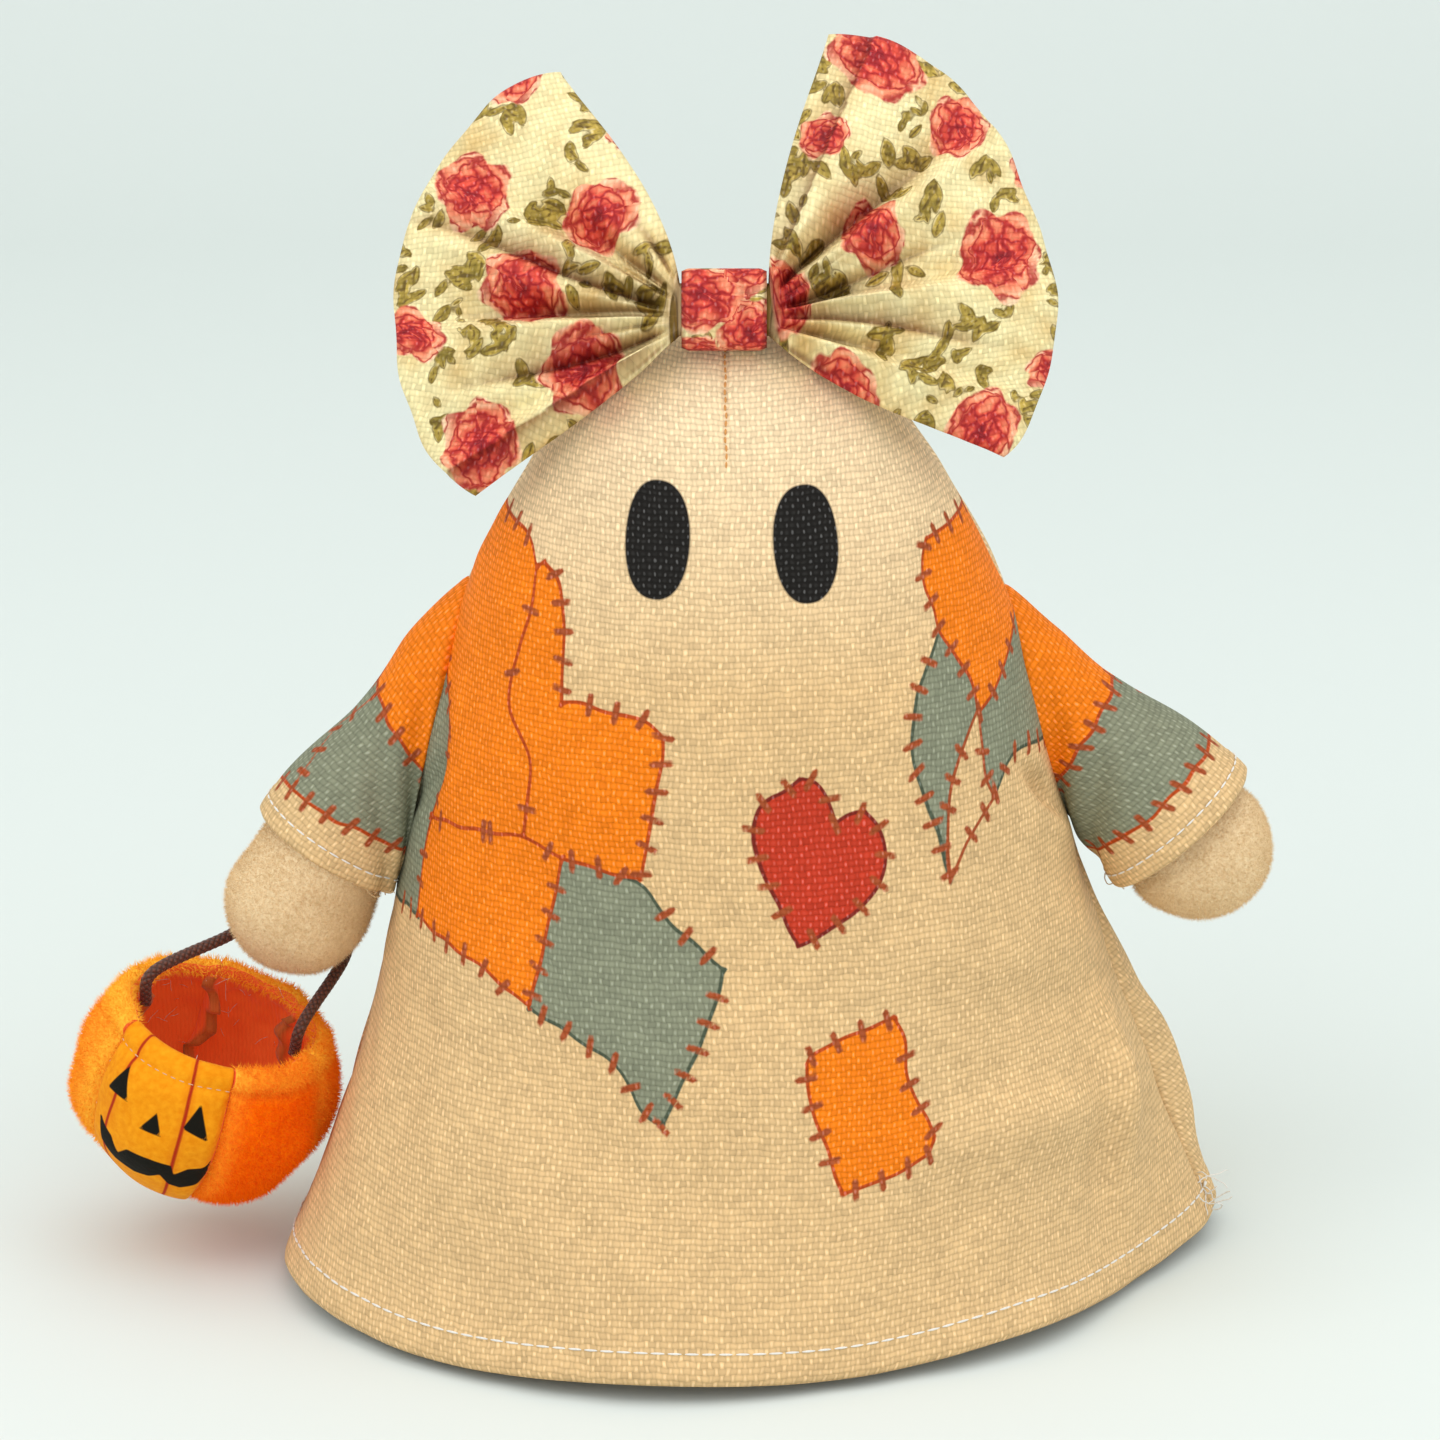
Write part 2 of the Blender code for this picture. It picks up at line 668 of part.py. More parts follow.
def pumpkin_basket(frame):
    """The printed face panel and the plush gores round the rest of the basket."""
    first = FACE_MIDDLE - FACE_WIDTH / 2
    gore("pumpkin_face", first, FACE_WIDTH, FACE_WALL, "pumpkin_face", frame)
    width = (math.tau - FACE_WIDTH) / PLUSH_GORES
    for index in range(PLUSH_GORES):
        start = first + FACE_WIDTH + index * width
        gore(f"pumpkin_gore_{index + 1}", start, width, PLUSH_WALL, "pumpkin_plush", frame)


def handle_route(frame):
    """The points of the handle's middle line, by hand from one foot to the other."""
    place = frame.matrix_basis
    rim_radius, rim_height = (share * PUMPKIN_RADIUS for share in PUMPKIN_PROFILE[-1])
    foot_radius = rim_radius - CUFF_WIDTH - CORD_DIAMETER / 2 - SEAM_GAP
    feet = []
    for angle in HANDLE_FOOT_ANGLES:
        out = Vector((math.cos(angle), math.sin(angle), 0)) * foot_radius
        low = place @ (out + Vector((0, 0, rim_height - HANDLE_FOOT_DEPTH)))
        top = place @ (out + Vector((0, 0, rim_height + HANDLE_RISE)))
        feet.append((low, top))
    centre = Arm("right").palm_centre()
    reach = HAND_RADIUS + CORD_DIAMETER / 2 + HANDLE_CLEARANCE
    wrap = [centre + Vector(d).normalized() * reach for d in HAND_WRAP]
    (left_low, left_top), (right_low, right_top) = feet
    return [left_low, left_top, *wrap, right_top, right_low]


def basket_handle(frame):
    points = guided([tuple(p) for p in handle_route(frame)])
    fine = [Vector(spline(points, step / 400)) for step in range(401)]
    run = [fine[0]]
    for point in fine[1:]:
        if (point - run[-1]).length >= HANDLE_STEP:
            run.append(point)
    run.append(fine[-1])
    curve = bpy.data.curves.new("basket_handle", "CURVE")
    curve.dimensions = "3D"
    curve.bevel_depth = CORD_DIAMETER / 2
    curve.bevel_resolution = 2
    curve.use_fill_caps = True
    path = curve.splines.new("POLY")
    path.points.add(len(run) - 1)
    for spot, point in zip(path.points, run):
        spot.co = (*point, 1)
    curve.materials.append(material("brown_cord"))
    cord = bpy.data.objects.new("basket_handle", curve)
    bpy.context.scene.collection.objects.link(cord)
    return cord


def main():
    clear_scene()
    robe_cutter = robe_envelope()
    body_cutter = body_envelope()
    armholes = [arm_pieces(side, robe_cutter, body_cutter) for side in ARMS]
    robe_panel("robe_front", -math.pi, -1, armholes)
    robe_panel("robe_back", 0, 1, armholes)
    stuffed_body()
    pellet_bag()
    base_disc()
    bow_wings()
    bow_knot()
    frame = basket_frame()
    pumpkin_basket(frame)
    basket_handle(frame)


main()
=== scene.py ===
"""Looks for a plush ghost: patchwork burlap robe, floral bow, stuffed mitts and a plush pumpkin basket.

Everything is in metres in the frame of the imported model. Sizes in the functions below are worked out in
millimetres, as a maker's pattern gives them, and turned to metres where a mesh is made.
"""

import math

import bmesh
import bpy
import numpy as np
from bpy.props import FloatProperty, FloatVectorProperty, IntProperty, PointerProperty
from mathutils import Matrix, Vector


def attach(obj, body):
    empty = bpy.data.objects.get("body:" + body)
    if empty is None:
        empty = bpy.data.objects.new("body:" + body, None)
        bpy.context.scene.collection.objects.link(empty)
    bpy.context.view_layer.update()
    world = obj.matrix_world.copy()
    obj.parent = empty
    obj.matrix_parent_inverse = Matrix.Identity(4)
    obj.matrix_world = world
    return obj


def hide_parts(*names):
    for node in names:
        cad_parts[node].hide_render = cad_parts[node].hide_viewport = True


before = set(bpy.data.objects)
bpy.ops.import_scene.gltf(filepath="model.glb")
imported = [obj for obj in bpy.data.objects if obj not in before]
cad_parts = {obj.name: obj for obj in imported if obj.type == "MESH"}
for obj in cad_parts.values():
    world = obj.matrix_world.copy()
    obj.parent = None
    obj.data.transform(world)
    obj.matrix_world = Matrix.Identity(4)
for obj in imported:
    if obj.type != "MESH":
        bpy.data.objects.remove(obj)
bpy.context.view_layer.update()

bl_info = {
    "name": "Plush ghost",
    "version": (1, 0, 0),
    "blender": (4, 5, 0),
    "location": "3D View > Sidebar > Plush ghost",
    "description": "Dresses the solids of a plush ghost with cloth, pile, prints and thread",
    "category": "Object",
}

MM = 0.001
BODY = "root"
SEED = 7

# Robe: its height and the hem's half width and half depth, then shares of them from the hem to the crown
ROBE_HEIGHT = 172.6
HEM_HALF_WIDTH = 84.0
HEM_HALF_DEPTH = 74.0
ROBE_STATIONS = np.array([
    (0.0116, 1.000, 1.000),
    (0.0695, 0.952, 0.953),
    (0.1506, 0.888, 0.885),
    (0.2549, 0.819, 0.811),
    (0.3708, 0.752, 0.736),
    (0.4983, 0.688, 0.662),
    (0.6141, 0.636, 0.599),
    (0.7010, 0.579, 0.535),
    (0.7764, 0.507, 0.470),
    (0.8459, 0.426, 0.397),
    (0.9096, 0.329, 0.314),
    (0.9618, 0.210, 0.208),
    (0.9907, 0.095, 0.097),
    (1.0000, 0.000, 0.000),
])
SKIRT_TOP = 92.0
SKIRT_TWIST = 0.078
SKIRT_TWIST_ANGLE = math.radians(-127)
SKIRT_WAVE = 0.012
SKIRT_WAVES = 7
SEAM_FLARE = 0.04
SEAM_FLARE_WIDTH = math.radians(12)
HEM_WAVE = 0.8
SKIRT_SHIFT = 2.0
SKIRT_SHIFT_TOP = 105.0

# Soft folds of the robe: middle across and up the cloth, reach across and up, tilt and height
FRONT_FOLDS = [
    (66, 56, 30, 6.0, -9, -1.8),
    (60, 36, 26, 7.0, -5, 3.0),
    (84, 34, 4.5, 15, 8, 2.4),
    (77, 28, 4.5, 15, 12, -1.1),
    (-52, 40, 9, 34, -12, 1.2),
    (-30, 26, 8, 26, -6, -0.8),
    (-66, 96, 5.0, 16, -8, -1.6),
    (68, 91, 10, 2.2, -40, -3.2),
    (74, 84, 10, 3.6, -30, 1.7),
    (-70, 92, 11, 2.6, 35, -1.6),
    (18, 20, 9, 20, 4, 0.8),
    (38, 22, 7, 18, 10, -0.9),
    (-5, 60, 30, 9, 0, 0.5),
    (88, 30, 7, 26, 14, 1.4),
]
BACK_FOLDS = [
    (-40, 30, 10, 30, 8, 1.3),
    (10, 24, 9, 26, -4, -1.0),
    (52, 34, 9, 30, -10, 1.2),
    (70, 94, 12, 4, 35, -1.3),
    (-70, 94, 12, 4, -35, -1.3),
    (-84, 24, 8, 24, -12, 1.6),
]

# Prints on the robe's front: outlines in millimetres across the cloth from its middle line and up from the hem
ORANGE_LEFT = [
    (-58, 143.5), (-51.9, 142.5), (-44.7, 141.7), (-40.2, 139.7), (-37.3, 136.2), (-38.4, 127.8), (-40.5, 122.1),
    (-42.4, 116.8), (-42.3, 111.6), (-39.4, 107.1), (-37.3, 102.3), (-37.5, 96.3), (-39.2, 89.7), (-45, 89.3),
    (-53, 88.6), (-67, 86.9), (-64, 93.2), (-61.7, 98), (-59.8, 104), (-65, 109.4), (-68, 115), (-84, 119),
    (-76, 130), (-66, 140),
]
ORANGE_RIGHT = [
    (-37.3, 136.2), (-35.6, 137.6), (-32.8, 134.5), (-31.5, 130.3), (-30.8, 124.7), (-31, 114), (-26.7, 114.5),
    (-22.4, 113.8), (-18.3, 113.2), (-14.8, 112.4), (-12.4, 110), (-12.4, 106.4), (-13.1, 102), (-14.1, 97),
    (-15.3, 91.8), (-17, 85.4), (-20, 85.8), (-24.6, 86.9), (-31.1, 87.6), (-39.2, 89.7), (-37.5, 96.3),
    (-37.3, 102.3), (-39.4, 107.1), (-42.3, 111.6), (-42.4, 116.8), (-40.5, 122.1), (-38.4, 127.8),
]
ORANGE_LOWER = [
    (-67, 86.9), (-53, 88.6), (-45, 89.3), (-39.2, 89.7), (-31.1, 87.6), (-33.2, 80.7), (-35.6, 71.7),
    (-38.5, 61.3), (-42.7, 63), (-49.2, 66.4), (-59.1, 68.2), (-69.3, 69.7), (-69.4, 78.8),
]
SAGE_DIAMOND = [
    (-31.1, 87.6), (-27, 87.6), (-17.5, 84.7), (-13.9, 81), (-9.7, 76.5), (-3.2, 70.9), (-4.4, 66.2),
    (-7.4, 58.5), (-10.6, 51.8), (-14.5, 43.7), (-18.2, 46.9), (-21.9, 53), (-27.3, 56.2), (-32.4, 58.6),
    (-38.5, 61.3), (-35.6, 71.7), (-33.2, 80.7),
]
SAGE_SIDE = [
    (-68, 115), (-65, 109.4), (-59.8, 104), (-61.7, 98), (-64, 93.2), (-67, 86.9), (-69.4, 78.8), (-69.3, 69.7),
    (-84, 68.4), (-98, 66), (-98, 119), (-84, 119),
]
ORANGE_SHOULDER = [
    (66, 143), (52.6, 143), (42, 141.6), (36.5, 140.6), (35.2, 137.7), (35.6, 133.1), (37.3, 128.9),
    (38.3, 125.2), (41.7, 120.9), (44.4, 116.8), (46.4, 112.4), (47.4, 109.6), (51.9, 112.2), (57.1, 116),
    (64, 120.9), (76, 126), (78, 134),
]
SAGE_LEAF_LEFT = [
    (38.3, 125.2), (34.7, 118.7), (32.3, 114), (31.6, 107.9), (32.5, 101.7), (34.6, 95.3), (37, 88.3),
    (38.5, 82.9), (38, 89.3), (38.7, 95.6), (40.8, 101.7), (43.8, 106.4), (47, 110), (46.4, 112.4),
    (44.4, 116.8), (41.7, 120.9),
]
SAGE_LEAF_RIGHT = [
    (76, 126), (84, 118.7), (86, 108), (84, 97), (69, 99.5), (61.1, 100.8), (55, 99.4), (51.9, 97),
    (49.9, 94.9), (47.9, 98.7), (47.3, 104), (47.4, 109.6), (51.9, 112.2), (57.1, 116), (64, 120.9),
]
TAN_LEAF = [
    (47, 110), (43.8, 106.4), (40.8, 101.7), (38.7, 95.6), (38, 89.3), (38.5, 82.9), (42.1, 88), (45.8, 91.4),
    (49.9, 94.9), (47.9, 98.7), (47.3, 104), (47.4, 109.6),
]
HEART = [
    (11.2, 103), (13.9, 102.4), (15.8, 100.6), (16.8, 98), (17.2, 95), (19.6, 96.2), (22.4, 96.3), (24.8, 94.2),
    (26, 90.8), (25.9, 87), (24.4, 83.6), (21.8, 80.9), (18.2, 78.6), (14, 76.4), (9.9, 74.6), (8.4, 77.7),
    (7, 81), (5.2, 85), (3.6, 89.3), (2.9, 93.9), (3.6, 97.6), (5.8, 99.9), (8.6, 101.2),
]
ORANGE_LOW = [
    (10.1, 54.4), (12.2, 56.4), (18.3, 58.6), (26.2, 60.6), (28.2, 56.2), (28.7, 50.8), (30.2, 46), (32.6, 42.4),
    (33.9, 38.8), (32.6, 36), (28.6, 34.4), (23.7, 33.1), (16.8, 31.8), (14.6, 36.7), (12.4, 43), (10.6, 49.8),
]
EYES = [(-13.4, 143.6), (12.3, 143.0)]
EYE_HALF_WIDTH = 5.8
EYE_HALF_HEIGHT = 10.3
EYE_TILTS = (3, -4)
# Each field of colour on the robe's front with its patches
FRONT_FIELDS = {
    "orange_a": [ORANGE_LEFT, ORANGE_SHOULDER, ORANGE_LOW],
    "orange_b": [ORANGE_RIGHT],
    "orange_c": [ORANGE_LOWER],
    "sage_a": [SAGE_DIAMOND, SAGE_LEAF_LEFT],
    "sage_b": [SAGE_SIDE, SAGE_LEAF_RIGHT],
    "tan": [TAN_LEAF],
    "heart": [HEART],
}
# The farthest that a print's distance is told, in millimetres
FAR = 6.0
STITCH_PITCH = 4.9
STITCH_CLEAR = 3.4
STITCH_HALF_LENGTH = 1.55
STITCH_HALF_WIDTH = 0.6
SHARP_CORNER = math.radians(42)
# Where two orange patches meet, stitches are few: their places on the cloth
INNER_STITCHES = [(-38.3, 128.5), (-42.3, 117.3), (-37.9, 94.9), (-61.5, 87.6), (-48.2, 89.1), (-46.5, 89.2)]
INNER_LINES = [ORANGE_RIGHT[19:] + ORANGE_RIGHT[:1], ORANGE_LOWER[:4]]
INNER_CLEAR = 2.5
DART = [(-1.7, 182.0), (-1.6, 168.9), (-1.5, 157.0)]

# Arms: the middle line from inside the shoulder, by a bend, to the tip of the hand, then the cuff's radius
# and how far the hand shows beyond it
ARMS = {
    "right": ((-30.0, 2.0, 112.0), (-55.0, 1.0, 111.5), (-84.6, -1.0, 52.6), 13.9, 24.3),
    "left": ((27.0, 3.0, 112.0), (55.0, 1.5, 111.5), (91.6, 0.0, 64.0), 15.6, 18.0),
}
ARM_ROOT_HEIGHT = 16.5
ARM_ROOT_DEPTH = 9.5
ARM_ELBOW = 9.2
ARM_WRIST = 11.8
HAND_RADIUS = 13.0
SLEEVE_CLOTH = 1.1
SLEEVE_EASE = 0.35
# Where the colours change along each sleeve: distances from the arm's root on its underside, front, top,
# back and underside again, first where orange ends and then where grey-green ends
SLEEVE_BANDS = {
    "right": [(38.0, 33.8, 29.5, 33.0, 38.0), (49.0, 50.2, 52.9, 50.5, 49.0)],
    "left": [(43.0, 39.0, 37.3, 40.0, 43.0), (55.0, 56.2, 56.0, 56.0, 55.0)],
}

# One more printed line on each sleeve, as (distance from the root, degrees round it)
SLEEVE_LINES = {
    "right": [(30.3, -26), (39.5, 1), (46.7, -22), (50.8, -28)],
    "left": [(37.0, 28), (44.0, 12), (50.0, 30), (55.5, 22)],
}
SLEEVE_LINE_HALF = 0.25
# How far inside the robe's face a sleeve and the arm in it begin
SLEEVE_ROOT = -0.8
ARM_ROOT = -1.4

# Bow, as the part's own: each wing is a fan of doubled cloth, gathered at the waist that the knot wraps
BOW_LEAN = math.radians(20)
BOW_RISE = 160.5
BOW_SHIFT = -1.8
WING_RADIUS = 49.8
WING_CORNER = 0.05
WING_SWEEP = 9.0
WING_PUFF = 1.2
WAIST_HALF_HEIGHT = 4.5
WAIST_HALF_DEPTH = 1.7
BOW_CLOTH = 2.2
KNOT_WIDTH = 14.6
KNOT_HEIGHT = 14.0
KNOT_DEPTH = 9.4
KNOT_NESTLE = 1.2
KNOT_CLOTH = 1.2
WINGS = {
    -1: (-41.0, 64.0, (-6.0, 18.0), 0.0, [
        (-45, -1.0), (-34, 1.8), (-29, -3.4), (-18, 2.6), (-5, 4.0), (0, -3.2),
        (10, 2.2), (27, 4.2), (33, -3.4), (50, 2.0), (66, -1.0),
    ]),
    1: (-31.0, 78.0, (-15.0, 11.0), 3.4, [
        (-38, -1.5), (-21, 2.8), (-15, -3.0), (-3, 2.6), (8, 4.2), (14, -2.8),
        (26, 2.2), (37, 4.0), (44, -3.2), (62, 2.0), (80, -1.0),
    ]),
}
# Creases that run out from the knot: angle, how far out each ends, depth and width in millimetres
BOW_CREASES = {
    -1: [(17, 1.2, 3.6, 1.0), (2, 0.85, 2.6, 0.8), (-21, 0.95, 3.6, 1.0), (-9, 0.5, 1.8, 0.6), (42, 0.5, 1.6, 0.9)],
    1: [(46, 1.0, 3.4, 1.1), (18, 0.8, 2.6, 0.9), (-5, 0.9, 3.4, 1.0), (-19, 0.5, 1.8, 0.7), (31, 0.45, 1.6, 0.7)],
}
# Each wing's edge that is folded under: the angle where it starts and which way it lies
BOW_TURNINGS = {-1: (-34.0, -1), 1: (69.0, 1)}
BOW_TURN_DEPTH = 2.6
PLEAT_RISE = 0.25
PLEAT_FALL = 0.85

# Pumpkin basket, as the part's own
PUMPKIN_CENTRE = (-96.2, -4.5, 31.2)
PUMPKIN_ROLL = math.radians(17)
PUMPKIN_PITCH = math.radians(10)
PUMPKIN_RADIUS = 24.1
PUMPKIN_PROFILE = [
    (0.037, -0.739),
    (0.349, -0.784),
    (0.672, -0.647),
    (0.905, -0.361),
    (1.000, 0.000),
    (0.950, 0.299),
    (0.834, 0.515),
    (0.739, 0.614),
]
CUFF_WIDTH = 2.2
CUFF_DROP = 5.0
GORE_GROOVE = 0.085
FACE_MIDDLE = math.radians(-110)
FACE_WIDTH = math.radians(70)
PLUSH_GORES = 5
GORE_SPAN = (math.tau - FACE_WIDTH) / PLUSH_GORES
PLUSH_WALL = 1.8
FACE_WALL = 1.3
RIM_WAVE = 0.8
SEAM_EDGE_WIDTH = 4.2
SEAM_EDGE_CLOTH = 1.9
LINT_COUNT = 190
TURNED_ROWS = 7
# Painted highlight on each plush panel, stronger on the side that the light comes from, from the panel right of the
# face round the back to its left
PANEL_PAINTED_LIGHT = [0.0, 0.15, 0.35, 0.6, 0.66]

# Handle, as the part's own
CORD_DIAMETER = 2.2
CORD_STRANDS = 5
BRAID_PITCH = 1.15
HANDLE_FOOT_ANGLES = (math.radians(172), math.radians(-3))
HANDLE_FOOT_DEPTH = 4.0
HANDLE_RISE = 3.0
HAND_WRAP = [
    (-0.86, 0.10, -0.48),
    (-0.62, 0.62, -0.48),
    (-0.10, 0.90, -0.42),
    (0.35, 0.80, -0.48),
    (0.52, 0.36, -0.78),
]
HANDLE_CLEARANCE = 1.3
SEAM_GAP = 0.3

# Camera, as it stood to the object
CAMERA_RISE = math.radians(17)
CAMERA_DISTANCE = 0.9
CAMERA_TARGET = Vector((-0.0025, 0.0, 0.098))
CAMERA_LENS = 126.0
CAMERA_SENSOR = 36.0


# Small helpers

def smooth(low, high, value):
    share = np.clip((np.asarray(value, float) - low) / (high - low), 0, 1)
    return share * share * (3 - 2 * share)


def mix(a, b, share):
    return a + (b - a) * share


def spline(points, share):
    """Points at the shares of a smooth curve through points, the first and last of which only guide it."""
    points = np.asarray(points, float)
    spans = len(points) - 3
    place = np.clip(np.asarray(share, float), 0, 1) * spans
    first = np.minimum(place.astype(int), spans - 1)
    t = (place - first)[..., None]
    p0, p1, p2, p3 = (points[first + k] for k in range(4))
    bend = (2 * p0 - 5 * p1 + 4 * p2 - p3) * t * t + (3 * p1 - p0 - 3 * p2 + p3) * t**3
    return p1 + 0.5 * ((p2 - p0) * t + bend)


def guided(points):
    points = np.asarray(points, float)
    return np.vstack([2 * points[0] - points[1], points, 2 * points[-1] - points[-2]])


def unit(vectors):
    return vectors / np.maximum(np.linalg.norm(vectors, axis=-1, keepdims=True), 1e-12)


def grid_normals(grid, closed=False, centre=None):
    """Outward directions of a surface whose rows go up and whose columns go round. A closed one repeats its
    first column as its last, and may turn its directions away from its own middle line."""
    if closed:
        ring = grid[:, :-1]
        across = np.roll(ring, -1, 1) - np.roll(ring, 1, 1)
        across = np.concatenate([across, across[:, :1]], 1)
    else:
        across = np.gradient(grid, axis=1)
    normals = unit(np.cross(across, np.gradient(grid, axis=0)))
    if centre is not None:
        normals *= np.sign(np.sum(normals * (grid - centre), -1, keepdims=True) + 1e-9)
    return normals


def run_lengths(grid, axis):
    """Distance travelled along an axis of a grid of points, from its start."""
    steps = np.linalg.norm(np.diff(grid, axis=axis), axis=2)
    start = np.zeros_like(np.take(steps, [0], axis=axis))
    return np.cumsum(np.concatenate([start, steps], axis=axis), axis=axis)


def grid_faces(rows, columns, first=0, wrapped=False):
    i = np.arange(rows - 1)[:, None]
    j = np.arange(columns if wrapped else columns - 1)[None, :]
    k = (j + 1) % columns
    low, high = first + i * columns, first + (i + 1) * columns
    return np.stack([low + j, low + k, high + k, high + j], -1).reshape(-1, 4).tolist()


def mesh_piece(name, points, faces, materials, uv=None, fields=None, face_slots=None, merge=True):
    """A piece from points in millimetres. Fields are numbers for each point that its material reads."""
    mesh = bpy.data.meshes.new(name)
    mesh.from_pydata((np.asarray(points, float).reshape(-1, 3) * MM).tolist(), [], faces)
    for made in materials:
        mesh.materials.append(made)
    if face_slots is not None:
        mesh.polygons.foreach_set("material_index", np.asarray(face_slots, dtype=np.int32))
    corners = np.empty(len(mesh.loops), dtype=np.int32)
    mesh.loops.foreach_get("vertex_index", corners)
    if uv is not None:
        layer = mesh.uv_layers.new(name="cloth")
        layer.data.foreach_set("uv", (np.asarray(uv, float).reshape(-1, 2) * MM)[corners].ravel())
    for field, values in (fields or {}).items():
        mesh.attributes.new(field, "FLOAT", "POINT").data.foreach_set("value", np.ravel(values))
    if merge:
        shape = bmesh.new()
        shape.from_mesh(mesh)
        bmesh.ops.remove_doubles(shape, verts=shape.verts, dist=1e-7)
        bmesh.ops.recalc_face_normals(shape, faces=shape.faces)
        shape.to_mesh(mesh)
        shape.free()
    mesh.shade_smooth()
    piece = bpy.data.objects.new(name, mesh)
    bpy.context.scene.collection.objects.link(piece)
    return piece


def dress(piece, slot, *nodes):
    """The piece rides on the ghost and stands for the named solids, which it hides. The slot is not used."""
    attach(piece, BODY)
    if nodes:
        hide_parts(*nodes)
    return piece


def baked(piece):
    """The piece as its modifiers leave it, as a plain mesh with no modifiers."""
    graph = bpy.context.evaluated_depsgraph_get()
    mesh = bpy.data.meshes.new_from_object(piece.evaluated_get(graph))
    plain = bpy.data.objects.new(piece.name + "_baked", mesh)
    bpy.context.scene.collection.objects.link(plain)
    name = piece.name
    bpy.data.objects.remove(piece)
    plain.name = name
    mesh.name = name
    return plain


def add(tree, kind, *feeds, out=0, **settings):
    """A node with its settings: a shader or maths one by its short name, with its operation after a space,
    and any other by its full name. Feeds go to its sockets in order, or as {place or name: feed}; a feed is
    another node's output or a value. It returns one of the node's outputs."""
    kind, _, operation = kind.partition(" ")
    node = tree.nodes.new(kind if "Node" in kind else "ShaderNode" + kind)
    if operation:
        node.operation = operation
    for key, value in settings.items():
        setattr(node, key, value)
    pairs = feeds[0] if feeds and isinstance(feeds[0], dict) else dict(enumerate(feeds))
    for key, feed in pairs.items():
        if isinstance(feed, bpy.types.NodeSocket):
            tree.links.new(feed, node.inputs[key])
        else:
            node.inputs[key].default_value = feed
    return node.outputs[out]


def linear(code, alpha=1.0):
    """A hex colour as linear numbers."""
    values = [int(code[k : k + 2], 16) / 255 for k in (1, 3, 5)]
    return (*[v / 12.92 if v <= 0.04045 else ((v + 0.055) / 1.055) ** 2.4 for v in values], alpha)


# Shapes of the part's own surfaces

def robe_section(share):
    """Height, half width and half depth of the robe, share 0 at the hem and 1 at the crown."""
    below = 2 * ROBE_STATIONS[0] - ROBE_STATIONS[1]
    beyond = ROBE_STATIONS[-2] * (1, -1, -1)
    points = np.vstack([below, ROBE_STATIONS, beyond])
    return spline(points, share) * (ROBE_HEIGHT, HEM_HALF_WIDTH, HEM_HALF_DEPTH)


def robe_point(angle, share):
    """Points of the robe's outer face. Angle 0 is at +X and -90 degrees is the front."""
    height, width, depth = np.moveaxis(robe_section(share), -1, 0)
    fade = (1 - smooth(0, SKIRT_TOP, height)) ** 1.3
    twist = SKIRT_TWIST * np.cos(2 * (angle - SKIRT_TWIST_ANGLE))
    wave = SKIRT_WAVE * np.cos(SKIRT_WAVES * angle)
    turned = (angle + math.pi) % math.tau - math.pi
    flare = SEAM_FLARE * np.exp(-((turned / SEAM_FLARE_WIDTH) ** 2))
    swell = 1 + fade * (twist + wave + flare)
    lift = fade * HEM_WAVE * (1 + np.cos(SKIRT_WAVES * angle))
    shift = SKIRT_SHIFT * (1 - smooth(SKIRT_TOP / 2, SKIRT_SHIFT_TOP, height))
    x = shift + width * swell * np.cos(angle)
    return np.stack([x, depth * swell * np.sin(angle), height + lift], -1)


def robe_outside(points):
    """About how far points lie outside the robe's face, below zero inside it."""
    shares = np.linspace(0, 1, 400)
    share = np.interp(points[..., 2], robe_section(shares)[:, 0], shares)
    height, width, depth = np.moveaxis(robe_section(share), -1, 0)
    shift = SKIRT_SHIFT * (1 - smooth(SKIRT_TOP / 2, SKIRT_SHIFT_TOP, height))
    angle = np.arctan2(points[..., 1] / np.maximum(depth, 1), (points[..., 0] - shift) / np.maximum(width, 1))
    face = robe_point(angle, share) - np.stack([shift, 0 * shift, 0 * shift], -1)
    near = np.hypot(face[..., 0], face[..., 1])
    far = np.hypot(points[..., 0] - shift, points[..., 1])
    return np.where(points[..., 2] > ROBE_HEIGHT, 9.0, far - near)


def cloth_rows(count):
    """Shares of the robe's height whose rows are evenly spaced up the front's middle, and their heights there."""
    shares = np.linspace(0, 1, 2001)
    line = robe_point(np.full(2001, -math.pi / 2), shares)
    run = np.concatenate([[0], np.cumsum(np.linalg.norm(np.diff(line, axis=0), axis=1))])
    heights = np.linspace(0, run[-1], count)
    return np.interp(heights, run, shares), heights


